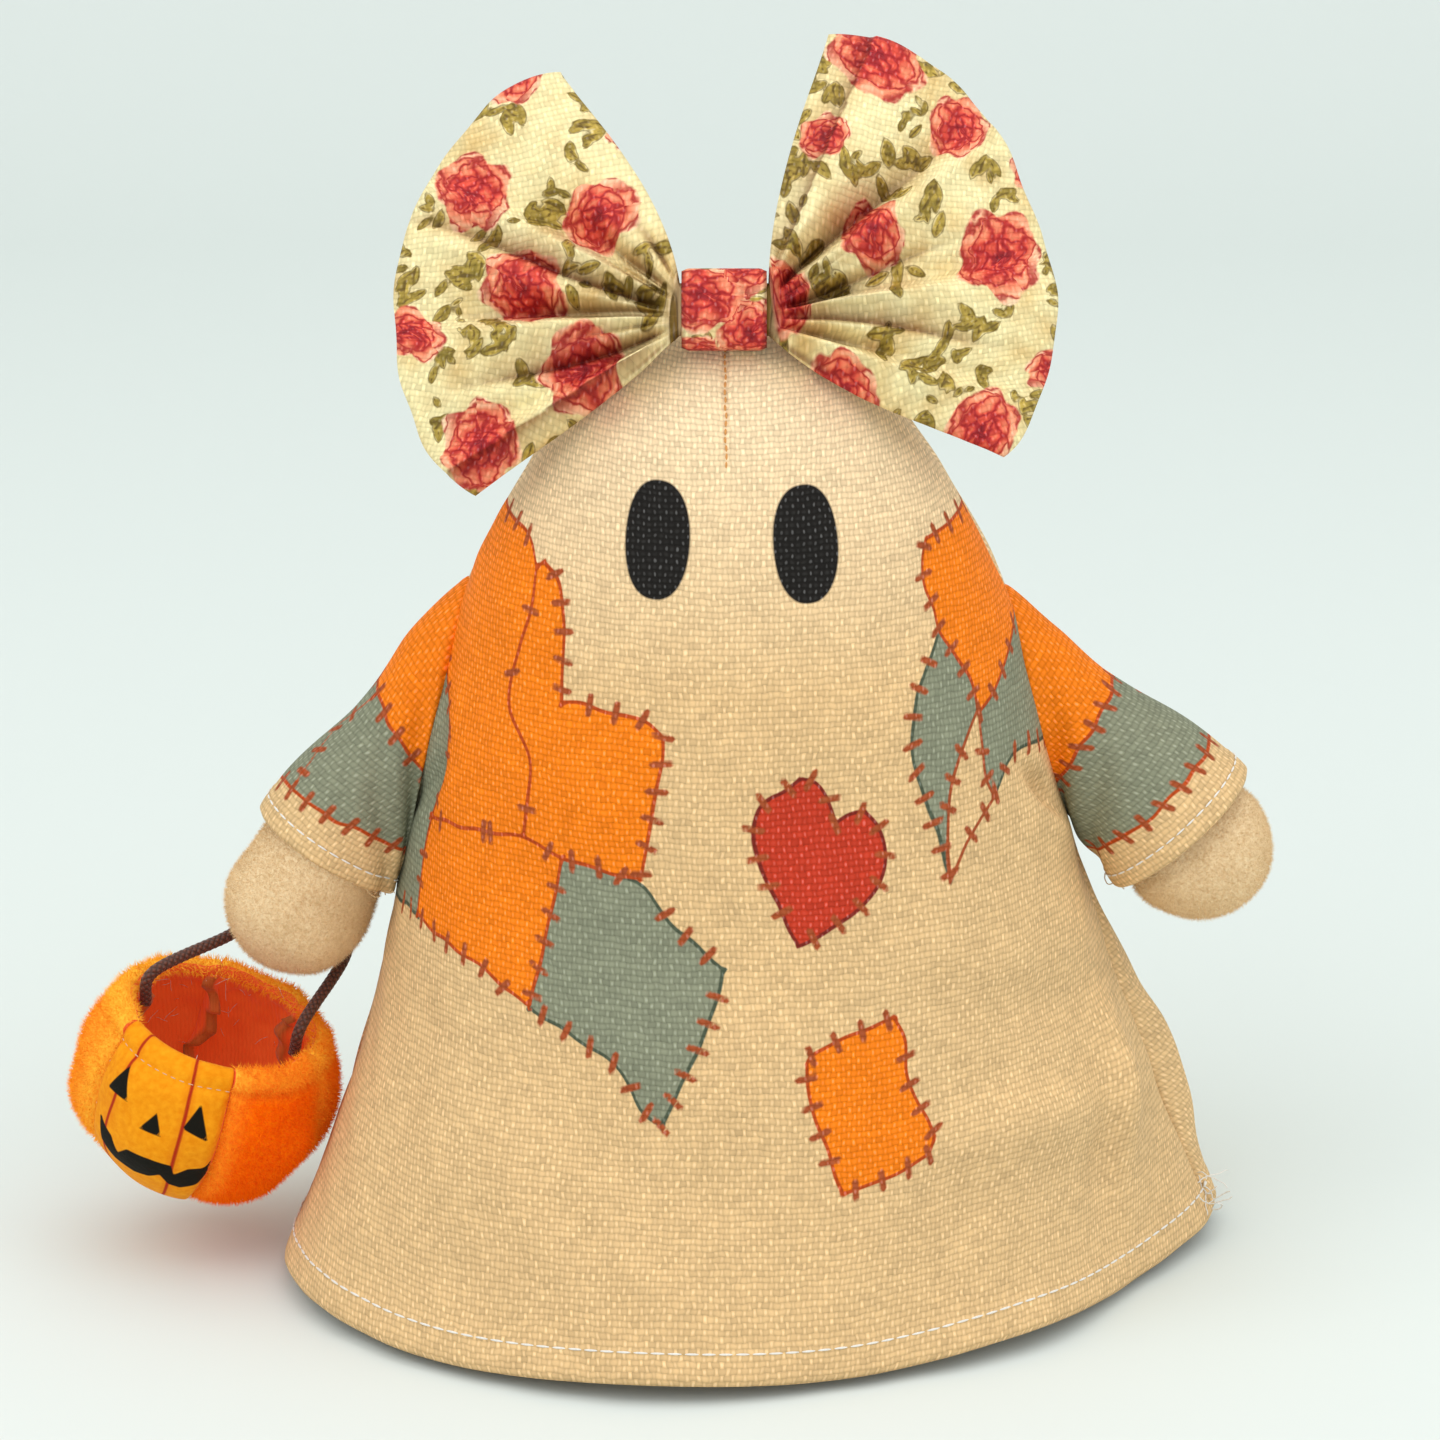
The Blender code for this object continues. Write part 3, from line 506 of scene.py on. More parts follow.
class Arm:
    """One arm's middle line and sections, which the arm and its sleeve share."""

    def __init__(self, side):
        root, bend, tip, self.cuff, self.showing = ARMS[side]
        share = np.linspace(0, 1, 61)[:, None]
        root, bend, tip = map(np.array, (root, bend, tip))
        self.line = mix(mix(root, bend, share), mix(bend, tip, share), share)
        steps = np.linalg.norm(np.diff(self.line, axis=0), axis=1)
        self.travelled = np.concatenate([[0], np.cumsum(steps)])
        self.length = self.travelled[-1]

    def place(self, reach):
        return np.stack([np.interp(reach, self.travelled, self.line[:, k]) for k in range(3)], -1)

    def along(self, reach):
        low = np.clip(reach - 1.0, 0, self.length - 2)
        return unit(self.place(low + 2) - self.place(low))

    def radii(self, reach):
        """Half height and half depth at these distances from the root."""
        elbow, wrist = self.length * 0.45, self.length - self.showing
        palm = self.length - HAND_RADIUS
        upper = smooth(0, elbow, reach)
        fore = mix(ARM_ELBOW, ARM_WRIST, smooth(elbow, wrist, reach))
        hand = mix(ARM_WRIST, HAND_RADIUS, smooth(wrist, palm, reach))
        end = HAND_RADIUS * np.sqrt(np.maximum(0, 1 - ((reach - palm) / HAND_RADIUS) ** 2))
        common = np.where(reach <= wrist, fore, np.where(reach <= palm, hand, end))
        height = np.where(reach <= elbow, mix(ARM_ROOT_HEIGHT, ARM_ELBOW, upper), common)
        depth = np.where(reach <= elbow, mix(ARM_ROOT_DEPTH, ARM_ELBOW, upper), common)
        return height, depth

    def ring(self, reach, half_height, half_depth, angle):
        """Points round the arm: angle 0 is its upper side and 90 degrees its back."""
        along = self.along(reach)
        deep = unit(np.array((0, 1.0, 0)) - along * along[..., 1:2])
        up = np.cross(deep, along)
        up = up * np.sign(up[..., 2:3])
        high = up * (half_height * np.cos(angle))[..., None]
        return self.place(reach) + high + deep * (half_depth * np.sin(angle))[..., None]

    def sleeve_radii(self, reach):
        flare = smooth(self.length * 0.4, self.length - self.showing, reach)
        return [mix(r + SLEEVE_EASE + SLEEVE_CLOTH, self.cuff, flare) for r in self.radii(reach)]


def bow_axes():
    up = np.array((0, math.sin(BOW_LEAN), math.cos(BOW_LEAN)))
    front = np.array((0, -math.cos(BOW_LEAN), math.sin(BOW_LEAN)))
    return up, front


def bow_centre():
    """The middle of the knot, pushed out until its back just clears the crown of the robe."""
    up, front = bow_axes()
    angle, share = np.meshgrid(np.pi * (np.arange(13) / 12 - 1), 0.5 + 0.5 * np.arange(61) / 60)
    points = robe_point(angle, share)
    beside = np.abs(points[..., 0] - BOW_SHIFT) <= KNOT_WIDTH / 2
    level = np.abs(points @ up - BOW_RISE) <= KNOT_HEIGHT / 2
    reach = (points @ front)[beside & level].max() + SEAM_GAP + KNOT_DEPTH / 2 - KNOT_NESTLE
    return np.array((BOW_SHIFT, 0, 0)) + up * BOW_RISE + front * reach


def pleat(pleats, degrees):
    """The height of a wing's pleats at these angles."""
    knots = np.array(pleats)
    first = np.clip(np.searchsorted(knots[:, 0], degrees) - 1, 0, len(knots) - 2)
    low, high = knots[first], knots[first + 1]
    share = np.clip((degrees - low[..., 0]) / (high[..., 0] - low[..., 0]), 0, 1)
    return mix(low[..., 1], high[..., 1], share * share * (3 - 2 * share))


def wing_point(side, out, across):
    """Points of a wing's middle face in the bow's own axes, with half its thickness, as the part has them."""
    low, high, (low_curl, high_curl), tip, pleats = WINGS[side]
    curl = (1 - out) ** 1.5
    degrees = mix(low + low_curl * curl, high + high_curl * curl, (across + 1) / 2)
    reach = WING_RADIUS * (1 - WING_CORNER * np.abs(across) ** 8) + tip * smooth(-0.1, 0.8, across)
    radius = reach * out
    angle = np.radians(degrees)
    x = side * (KNOT_WIDTH / 2 + SEAM_GAP + radius * np.cos(angle))
    up = WAIST_HALF_HEIGHT * across * (1 - out) + radius * np.sin(angle)
    fade = smooth(0, PLEAT_RISE, out) * (1 - PLEAT_FALL * smooth(PLEAT_RISE, 1.05, out))
    front = pleat(pleats, degrees) * fade - WING_SWEEP * out**2
    thin = BOW_CLOTH / 2 + WING_PUFF * np.sin(math.pi * out) * (1 - across**4)
    half = mix(WAIST_HALF_DEPTH, thin, smooth(0, 0.3, out))
    return np.stack([x, front, up], -1), half


def in_bow(points):
    """Points of the bow's own axes, x, front and up, in the frame."""
    up, front = bow_axes()
    side = np.array((1.0, 0, 0))
    return bow_centre() + points[..., :1] * side + points[..., 1:2] * front + points[..., 2:] * up


def basket_place():
    turn = Matrix.Rotation(PUMPKIN_ROLL, 3, "Y") @ Matrix.Rotation(PUMPKIN_PITCH, 3, "X")
    return np.array(turn), np.array(PUMPKIN_CENTRE)


def in_basket(points):
    turn, centre = basket_place()
    return points @ turn.T + centre


def wall_outline(wall, steps):
    """The basket wall's outer face as (radius, height) from the bottom to the rim, and its inner face."""
    points = guided(PUMPKIN_PROFILE)
    outer = spline(points, np.linspace(0, 1, steps + 1)) * PUMPKIN_RADIUS
    ahead = unit(np.gradient(outer, axis=0))
    inward = np.stack([-ahead[:, 1], ahead[:, 0]], -1)
    cuff = smooth(-CUFF_DROP * 1.4, -CUFF_DROP * 0.6, outer[:, 1] - outer[-1, 1])
    inner = outer + inward * mix(wall, CUFF_WIDTH, cuff)[:, None]
    inner[0] = outer[0] + (0, wall)
    return outer, inner


def handle_route():
    """The handle's middle line, by hand from one foot to the other, in even steps."""
    rim_radius, rim_height = np.array(PUMPKIN_PROFILE[-1]) * PUMPKIN_RADIUS
    foot_radius = rim_radius - CUFF_WIDTH - CORD_DIAMETER / 2 - SEAM_GAP
    feet = []
    for angle in HANDLE_FOOT_ANGLES:
        out = np.array((math.cos(angle), math.sin(angle), 0)) * foot_radius
        low = in_basket(out + (0, 0, rim_height - HANDLE_FOOT_DEPTH))
        top = in_basket(out + (0, 0, rim_height + HANDLE_RISE))
        feet.append((low, top))
    arm = Arm("right")
    centre = arm.place(arm.length - HAND_RADIUS)
    reach = HAND_RADIUS + CORD_DIAMETER / 2 + HANDLE_CLEARANCE
    wrap = [centre + np.array(d) / np.linalg.norm(d) * reach for d in HAND_WRAP]
    (left_low, left_top), (right_low, right_top) = feet
    return guided([left_low, left_top, *wrap, right_top, right_low])


# Relief and prints on cloth

def folds_height(u, v, folds):
    """The height of soft folds at places of the cloth."""
    height = np.zeros_like(u)
    for across, up, reach_across, reach_up, tilt, rise in folds:
        c, s = math.cos(math.radians(tilt)), math.sin(math.radians(tilt))
        a = ((u - across) * c + (v - up) * s) / reach_across
        b = (-(u - across) * s + (v - up) * c) / reach_up
        height += rise * np.exp(-(a * a + b * b))
    return height


def ripples(places, size, rng, count=14):
    """A soft random unevenness over places, about -1 to 1, with waves of about this size."""
    height = 0.0
    for _ in range(count):
        way = rng.normal(size=places.shape[-1])
        length = np.linalg.norm(way) * size * rng.uniform(0.7, 1.6)
        height = height + np.sin(places @ way * math.tau / length + rng.uniform(0, math.tau))
    return height / math.sqrt(count)


def drawn(outline, steps=6):
    """An outline as a smooth hand would draw it, through its points, with its sharp corners kept."""
    points = np.array(outline, float)
    back, ahead = points - np.roll(points, 1, axis=0), np.roll(points, -1, axis=0) - points
    turn = np.arctan2(back[:, 0] * ahead[:, 1] - back[:, 1] * ahead[:, 0], np.sum(back * ahead, axis=1))
    points = np.repeat(points, np.where(np.abs(turn) > SHARP_CORNER, 2, 1), axis=0)
    closed = np.vstack([points[-1], points, points[:2]])
    share = np.arange(len(points) * steps) / (len(points) * steps)
    return spline(closed, share)


def oval(centre, half_width, half_height, tilt):
    """An upright oval outline, a little fuller than an ellipse."""
    t = np.linspace(0, math.tau, 48, endpoint=False)
    c, s = np.cos(t), np.sin(t)
    x, y = half_width * np.sign(c) * np.abs(c) ** 0.86, half_height * np.sign(s) * np.abs(s) ** 0.92
    c, s = math.cos(math.radians(tilt)), math.sin(math.radians(tilt))
    return np.stack([centre[0] + x * c + y * s, centre[1] - x * s + y * c], -1)


def patch_field(u, v, rings):
    """Distance from the nearest of these closed outlines, below zero inside one and never above FAR."""
    field = np.full(u.shape, FAR)
    for ring in rings:
        low, high = ring.min(axis=0) - FAR, ring.max(axis=0) + FAR
        near = (u > low[0]) & (u < high[0]) & (v > low[1]) & (v < high[1])
        x, y = u[near], v[near]
        best = np.full(x.shape, FAR * FAR)
        inside = np.zeros(x.shape, bool)
        for (ax, ay), (bx, by) in zip(ring, np.roll(ring, -1, axis=0)):
            dx, dy = bx - ax, by - ay
            t = np.clip(((x - ax) * dx + (y - ay) * dy) / (dx * dx + dy * dy + 1e-9), 0, 1)
            best = np.minimum(best, (x - ax - t * dx) ** 2 + (y - ay - t * dy) ** 2)
            if ay != by:
                inside ^= ((ay > y) != (by > y)) & (x < dx * (y - ay) / dy + ax)
        far = np.sqrt(best)
        field[near] = np.minimum(field[near], np.where(inside, -far, far))
    return field


def stitches_across(rings, rng, pitch=STITCH_PITCH, keep=None, closed=True):
    """Printed stitches square to the outlines, none too close to another: (middle, direction) pairs."""
    placed = []
    for ring in rings:
        loop = np.vstack([ring, ring[:1]]) if closed else ring
        run = np.concatenate([[0], np.cumsum(np.linalg.norm(np.diff(loop, axis=0), axis=1))])
        count = max(3, round(run[-1] / pitch))
        for place in (np.arange(count) + 0.5) / count * run[-1]:
            spot = np.array([np.interp(place, run, loop[:, k]) for k in (0, 1)])
            ahead = np.array([np.interp((place + 1.5) % run[-1], run, loop[:, k]) for k in (0, 1)]) - spot
            angle = math.atan2(ahead[1], ahead[0]) + math.pi / 2 + rng.normal(0, 0.16)
            clear = all(np.hypot(*(spot - other)) > STITCH_CLEAR for other, _ in placed)
            if clear and (keep is None or keep(*spot)):
                placed.append((spot, np.array((math.cos(angle), math.sin(angle)))))
    return placed


def polyline_far(u, v, lines):
    """Distance from the nearest of these lines."""
    field = np.full(np.shape(u), FAR)
    for line in lines:
        for a, b in zip(np.array(line, float), np.array(line, float)[1:]):
            d = b - a
            t = np.clip(((u - a[0]) * d[0] + (v - a[1]) * d[1]) / (d @ d + 1e-9), 0, 1)
            field = np.minimum(field, np.hypot(u - a[0] - t * d[0], v - a[1] - t * d[1]))
    return field


def stitch_field(u, v, placed):
    """Distance from the nearest printed stitch, below zero inside one."""
    field = np.full(u.shape, FAR)
    for spot, way in placed:
        near = (np.abs(u - spot[0]) < FAR + 2) & (np.abs(v - spot[1]) < FAR + 2)
        x, y = u[near] - spot[0], v[near] - spot[1]
        t = np.clip(x * way[0] + y * way[1], -STITCH_HALF_LENGTH, STITCH_HALF_LENGTH)
        far = np.hypot(x - t * way[0], y - t * way[1]) - STITCH_HALF_WIDTH
        field[near] = np.minimum(field[near], far)
    return field


def cloth_shell(outer, inner, every=1, closed=False):
    """A sheet of cloth from its outer and inner grids, joined round its edge. The inner face keeps only every
    so many rows and columns. It returns points, faces and each point's place in the outer grid."""
    rows, columns = outer.shape[:2]
    inner_rows, inner_columns = np.arange(0, rows, every), np.arange(0, columns, every)
    picks = np.concatenate([
        np.arange(rows * columns),
        (inner_rows[:, None] * columns + inner_columns[None, :]).ravel(),
    ])
    points = np.concatenate([outer.reshape(-1, 3), inner[::every, ::every].reshape(-1, 3)])
    first, r, c = rows * columns, len(inner_rows), len(inner_columns)
    faces = grid_faces(rows, columns) + grid_faces(r, c, first)
    edges = []
    for row, coarse_row in ((0, 0), (rows - 1, r - 1)):
        edges.append((row * columns + np.arange(columns), first + coarse_row * c + np.arange(c)))
    if not closed:
        for column, coarse_column in ((0, 0), (columns - 1, c - 1)):
            edges.append((np.arange(rows) * columns + column, first + np.arange(r) * c + coarse_column))
    for fine, coarse in edges:
        for k in range(len(coarse) - 1):
            faces.append([*fine[k * every : (k + 1) * every + 1].tolist(), int(coarse[k + 1]), int(coarse[k])])
    return points, faces, picks


def cloth_mesh(name, outer, inner, made, u, v, fields=None, every=1, closed=False):
    """A sheet of cloth from its outer and inner grids, with its own map and fields. Where it has a second
    material, that one is for all but its outer face."""
    points, faces, picks = cloth_shell(outer, inner, every, closed)
    uv = np.stack([u, v], -1).reshape(-1, 2)[picks]
    fields = {key: np.ravel(field)[picks] for key, field in (fields or {}).items()}
    outer_faces = (outer.shape[0] - 1) * (outer.shape[1] - 1)
    slots = (np.arange(len(faces)) >= outer_faces).astype(int) if len(made) > 1 else None
    return mesh_piece(name, points, faces, made, uv=uv, fields=fields, face_slots=slots)


def edge_round(distance, thickness):
    """How thick a folded edge is at this distance in from it, so that it ends in a round fold."""
    share = np.clip(distance / (thickness / 2), 0, 1)
    return thickness * (0.15 + 0.85 * np.sqrt(np.maximum(0, 1 - (1 - share) ** 2)))


# Materials

# A Mix node's settings for colour, whose sockets are 6 and 7 in and 2 out
RGBA = {"out": 2, "data_type": "RGBA"}
# Width over which a print's edge and its outline fade, and half the width of a patch's outline
PRINT_EDGE = 0.35
LINE_EDGE = 0.25
OUTLINE_HALF = 0.33
# How deep the weave is, and how dark the painted shade in the gaps between its threads is on the robe and on the bow
WEAVE_DEPTH = 0.14
ROBE_GAP_SHADE = 0.72
BOW_GAP_SHADE = 0.84
# Painted highlight: the paler colour that the robe's cloth is given over the head, where the light from above falls
# on it, and the heights between which it turns so pale
HEAD_PAINTED_HIGHLIGHT = "#EAD0A8"
HEAD_HIGHLIGHT_RISE = (0.115, 0.158)
# Painted light and shade on folds: how much paler a fold's upper side is made, and how much darker its lower side
FOLD_LIGHT = 0.16
# Painted highlight: how much paler than its ink the top of a thread is made
THREAD_GLEAM = 0.09
# Painted glow: how strongly the basket's pile, and the thin wrong side of its wall, glow in their own colour,
# standing in for light that comes back out from between the bright fibres and through the wall
PILE_PAINTED_GLOW = 0.08
THIN_WALL_PAINTED_GLOW = 0.09


def new_material(name, roughness, sheen=0.0, sheen_roughness=0.5, specular=0.5):
    made = bpy.data.materials.new(name)
    made.use_nodes = True
    tree = made.node_tree
    shader = tree.nodes["Principled BSDF"]
    shader.inputs["Roughness"].default_value = roughness
    shader.inputs["Specular IOR Level"].default_value = specular
    shader.inputs["Sheen Weight"].default_value = sheen
    shader.inputs["Sheen Roughness"].default_value = sheen_roughness
    return made, tree, shader


# Painted light: the shader glows in its own colour, though it is no lamp
def glow(shader, colour, strength):
    shader.inputs["Emission Color"].default_value = colour
    shader.inputs["Emission Strength"].default_value = strength


def coated(tree, shader, colour, height=None, depth=0.0, strength=1.0):
    """Gives a shader its colour and, from a height, relief of this depth in millimetres."""
    tree.links.new(colour, shader.inputs["Base Color"])
    if height is not None:
        bump = add(tree, "Bump", {"Strength": strength, "Distance": depth * MM, "Height": height})
        tree.links.new(bump, shader.inputs["Normal"])


def node_group(name, kind, inputs, outputs):
    """A new node group with these named sockets: its tree, its inputs, and the sockets for its results."""
    tree = bpy.data.node_groups.new(name, kind)
    for in_out, sockets in (("INPUT", inputs), ("OUTPUT", outputs)):
        for label, socket in sockets.items():
            tree.interface.new_socket(label, in_out=in_out, socket_type="NodeSocket" + socket)
    return tree, tree.nodes.new("NodeGroupInput").outputs, tree.nodes.new("NodeGroupOutput").inputs


def weave_group():
    """Plain weave from the cloth's own map, in millimetres: the height of the thread on top, its tone, whether
    it is of the warp, and the place on the cloth."""
    if "plain_weave" in bpy.data.node_groups:
        return bpy.data.node_groups["plain_weave"]
    tree, given, ends = node_group(
        "plain_weave", "ShaderNodeTree", {"Warp pitch": "Float", "Weft pitch": "Float"},
        {"Height": "Float", "Tone": "Float", "Warp": "Float", "Place": "Vector"})
    place = add(tree, "VectorMath SCALE", {0: add(tree, "UVMap", uv_map="cloth"), 3: 1 / MM})
    wander = place
    for scale, reach in ((0.055, 1.6), (0.42, 0.75)):
        noise = add(tree, "TexNoise", {"Vector": place, "Scale": scale, "Detail": 1.0}, out=1)
        centred = add(tree, "VectorMath SUBTRACT", {0: noise, 1: (0.5, 0.5, 0.5)})
        step = add(tree, "VectorMath SCALE", {0: centred, 3: reach})
        wander = add(tree, "VectorMath ADD", {0: wander, 1: step})
    across, up = add(tree, "SeparateXYZ", wander).node.outputs[:2]
    count_u = add(tree, "Math DIVIDE", across, given[0])
    count_v = add(tree, "Math DIVIDE", up, given[1])
    wave_u = add(tree, "Math SINE", add(tree, "Math MULTIPLY", count_u, math.pi))
    wave_v = add(tree, "Math SINE", add(tree, "Math MULTIPLY", count_v, math.pi))
    warp_over = add(tree, "Math MULTIPLY", add(tree, "Math SIGN", wave_u), wave_v)
    weft_over = add(tree, "Math MULTIPLY", add(tree, "Math SIGN", wave_v), wave_u)
    warp_round = add(tree, "Math POWER", add(tree, "Math ABSOLUTE", wave_u), 1.1)
    weft_round = add(tree, "Math POWER", add(tree, "Math ABSOLUTE", wave_v), 0.5)
    warp = add(tree, "Math MULTIPLY", warp_round, add(tree, "Math MULTIPLY_ADD", warp_over, 0.52, 0.43))
    weft = add(tree, "Math MULTIPLY", weft_round, add(tree, "Math MULTIPLY_ADD", weft_over, -0.28, 0.62))
    height = add(tree, "Math MAXIMUM", warp, weft)
    on_top = add(tree, "Math MULTIPLY_ADD", add(tree, "Math SUBTRACT", warp, weft), 5.0, 0.5, use_clamp=True)
    tones = []
    for along, count, step in ((up, count_u, 0.3), (across, count_v, 0.24)):
        number = add(tree, "Math MULTIPLY", add(tree, "Math FLOOR", count), 3.7)
        thread_place = add(tree, "CombineXYZ", number, add(tree, "Math MULTIPLY", along, step))
        tones.append(add(tree, "TexNoise", {"Vector": thread_place, "Scale": 1.0, "Detail": 2.0}))
    tone = add(tree, "Mix", {"Factor": on_top, 2: tones[1], 3: tones[0]}, data_type="FLOAT")
    for label, source in (("Height", height), ("Tone", tone), ("Warp", on_top), ("Place", wander)):
        tree.links.new(source, ends[label])
    return tree


def woven(tree, shader, colour, shine, settings, gap):
    """Gives a cloth shader its colour through the weave: painted shade between the threads and a painted highlight on
    their tops.
    """
    weave = tree.nodes.new("ShaderNodeGroup")
    weave.node_tree = weave_group()
    weave.inputs["Warp pitch"].default_value = settings.warp_pitch / MM
    weave.inputs["Weft pitch"].default_value = settings.weft_pitch / MM
    height, tone, warp = (weave.outputs[k] for k in ("Height", "Tone", "Warp"))
    # Painted shade: darkest in the gaps where no thread lies on top
    shade = add(tree, "MapRange", {0: height, 1: 0.1, 2: 0.75, 3: gap, 4: 1.04})
    level = add(tree, "Math MULTIPLY", shade, add(tree, "Math MULTIPLY_ADD", tone, 0.72, 0.64))
    # Painted highlight: the warp threads that pass over are made paler by shine
    level = add(tree, "Math MULTIPLY", level, add(tree, "Math MULTIPLY_ADD", warp, shine, 1.0))
    grey = add(tree, "CombineColor", level, level, level)
    tinted = add(tree, "Mix", {0: 1.0, 6: colour, 7: grey}, blend_type="MULTIPLY", **RGBA)
    # Painted glint: pale colour added on the tops of the brighter threads
    gleam = add(tree, "MapRange", {0: height, 1: 0.62, 2: 0.9, 3: 0.0, 4: THREAD_GLEAM})
    bright = add(tree, "Math MULTIPLY_ADD", tone, 2.4, -0.5, use_clamp=True)
    gleam = add(tree, "Math MULTIPLY", gleam, bright)
    gleam = add(tree, "Math MULTIPLY", gleam, add(tree, "Math MULTIPLY_ADD", warp, 0.85, 0.15))
    pale = add(tree, "CombineColor", gleam, gleam, gleam)
    tinted = add(tree, "Mix", {0: 1.0, 6: tinted, 7: pale}, blend_type="ADD", **RGBA)
    fuzz = add(tree, "TexNoise", {"Vector": weave.outputs["Place"], "Scale": 3.4, "Detail": 2.0})
    coated(tree, shader, tinted, add(tree, "Math MULTIPLY_ADD", fuzz, 0.16, height), WEAVE_DEPTH)


def field_mask(tree, name, edge=PRINT_EDGE, grow=0.0):
    """1 inside a printed field and 0 outside it, from the distance that the mesh carries."""
    far = add(tree, "Attribute", attribute_name=name, out=2)
    far = add(tree, "Math SUBTRACT", far, grow)
    return add(tree, "Math MULTIPLY_ADD", far, -1 / edge, 0.5, use_clamp=True)


def line_mask(tree, name, half):
    """1 on the outline of a printed field."""
    far = add(tree, "Attribute", attribute_name=name, out=2)
    beside = add(tree, "Math SUBTRACT", add(tree, "Math ABSOLUTE", far), half)
    return add(tree, "Math MULTIPLY_ADD", beside, -1 / LINE_EDGE, 0.5, use_clamp=True)


def shaded(colour, share):
    return (*[min(1, share * c) for c in colour[:3]], 1)


def burlap(name, prints, settings):
    """Faux burlap, a coarse plain weave of polyester yarn that looks like jute: matt, with a faint gleam painted on
    each thread that passes over. Prints lie on it as flat ink that lets the weave show."""
    made, tree, shader = new_material(name, roughness=0.68, specular=0.15)
    inks = {
        "orange": (settings.orange_ink, settings.rust_line_ink),
        "sage": (settings.sage_ink, settings.sage_line_ink),
        "grey": (settings.sage_ink, settings.rust_line_ink),
        "tan": (settings.burlap, settings.stitch_ink),
        "heart": (settings.heart_ink, settings.heart_line_ink),
        "stitches": (settings.stitch_ink, None),
        "lines": (settings.rust_line_ink, None),
        "eyes": (settings.eye_ink, None),
    }
    place = add(tree, "TexCoord", out="Object")
    patchy = add(tree, "TexNoise", {"Vector": place, "Scale": 45.0, "Detail": 3.0})
    colour = add(tree, "Mix", {0: patchy, 6: shaded(settings.burlap, 0.93), 7: shaded(settings.burlap, 1.05)}, **RGBA)
    # Painted highlight: towards the top of the head the cloth's colour turns paler
    height = add(tree, "SeparateXYZ", place, out=2)
    level = add(tree, "MapRange", {0: height, 1: HEAD_HIGHLIGHT_RISE[0], 2: HEAD_HIGHLIGHT_RISE[1], 3: 0.0, 4: 1.0})
    colour = add(tree, "Mix", {0: level, 6: colour, 7: linear(HEAD_PAINTED_HIGHLIGHT)}, **RGBA)
    for field in prints:
        fill, line = inks[field.split("_")[0]]
        colour = add(tree, "Mix", {0: field_mask(tree, field), 6: colour, 7: tuple(fill)}, **RGBA)
        if line is not None:
            colour = add(tree, "Mix", {0: line_mask(tree, field, OUTLINE_HALF), 6: colour, 7: tuple(line)}, **RGBA)
    # Painted light and shade: the colour is made paler where folds turn up and darker where they turn down
    upturned = add(tree, "Attribute", attribute_name="upturned", out=2)
    caught = add(tree, "Math MULTIPLY_ADD", upturned, FOLD_LIGHT, 1.0)
    caught = add(tree, "CombineColor", caught, caught, caught)
    colour = add(tree, "Mix", {0: 1.0, 6: colour, 7: caught}, blend_type="MULTIPLY", **RGBA)
    woven(tree, shader, colour, 0.13, settings, ROBE_GAP_SHADE)
    return made


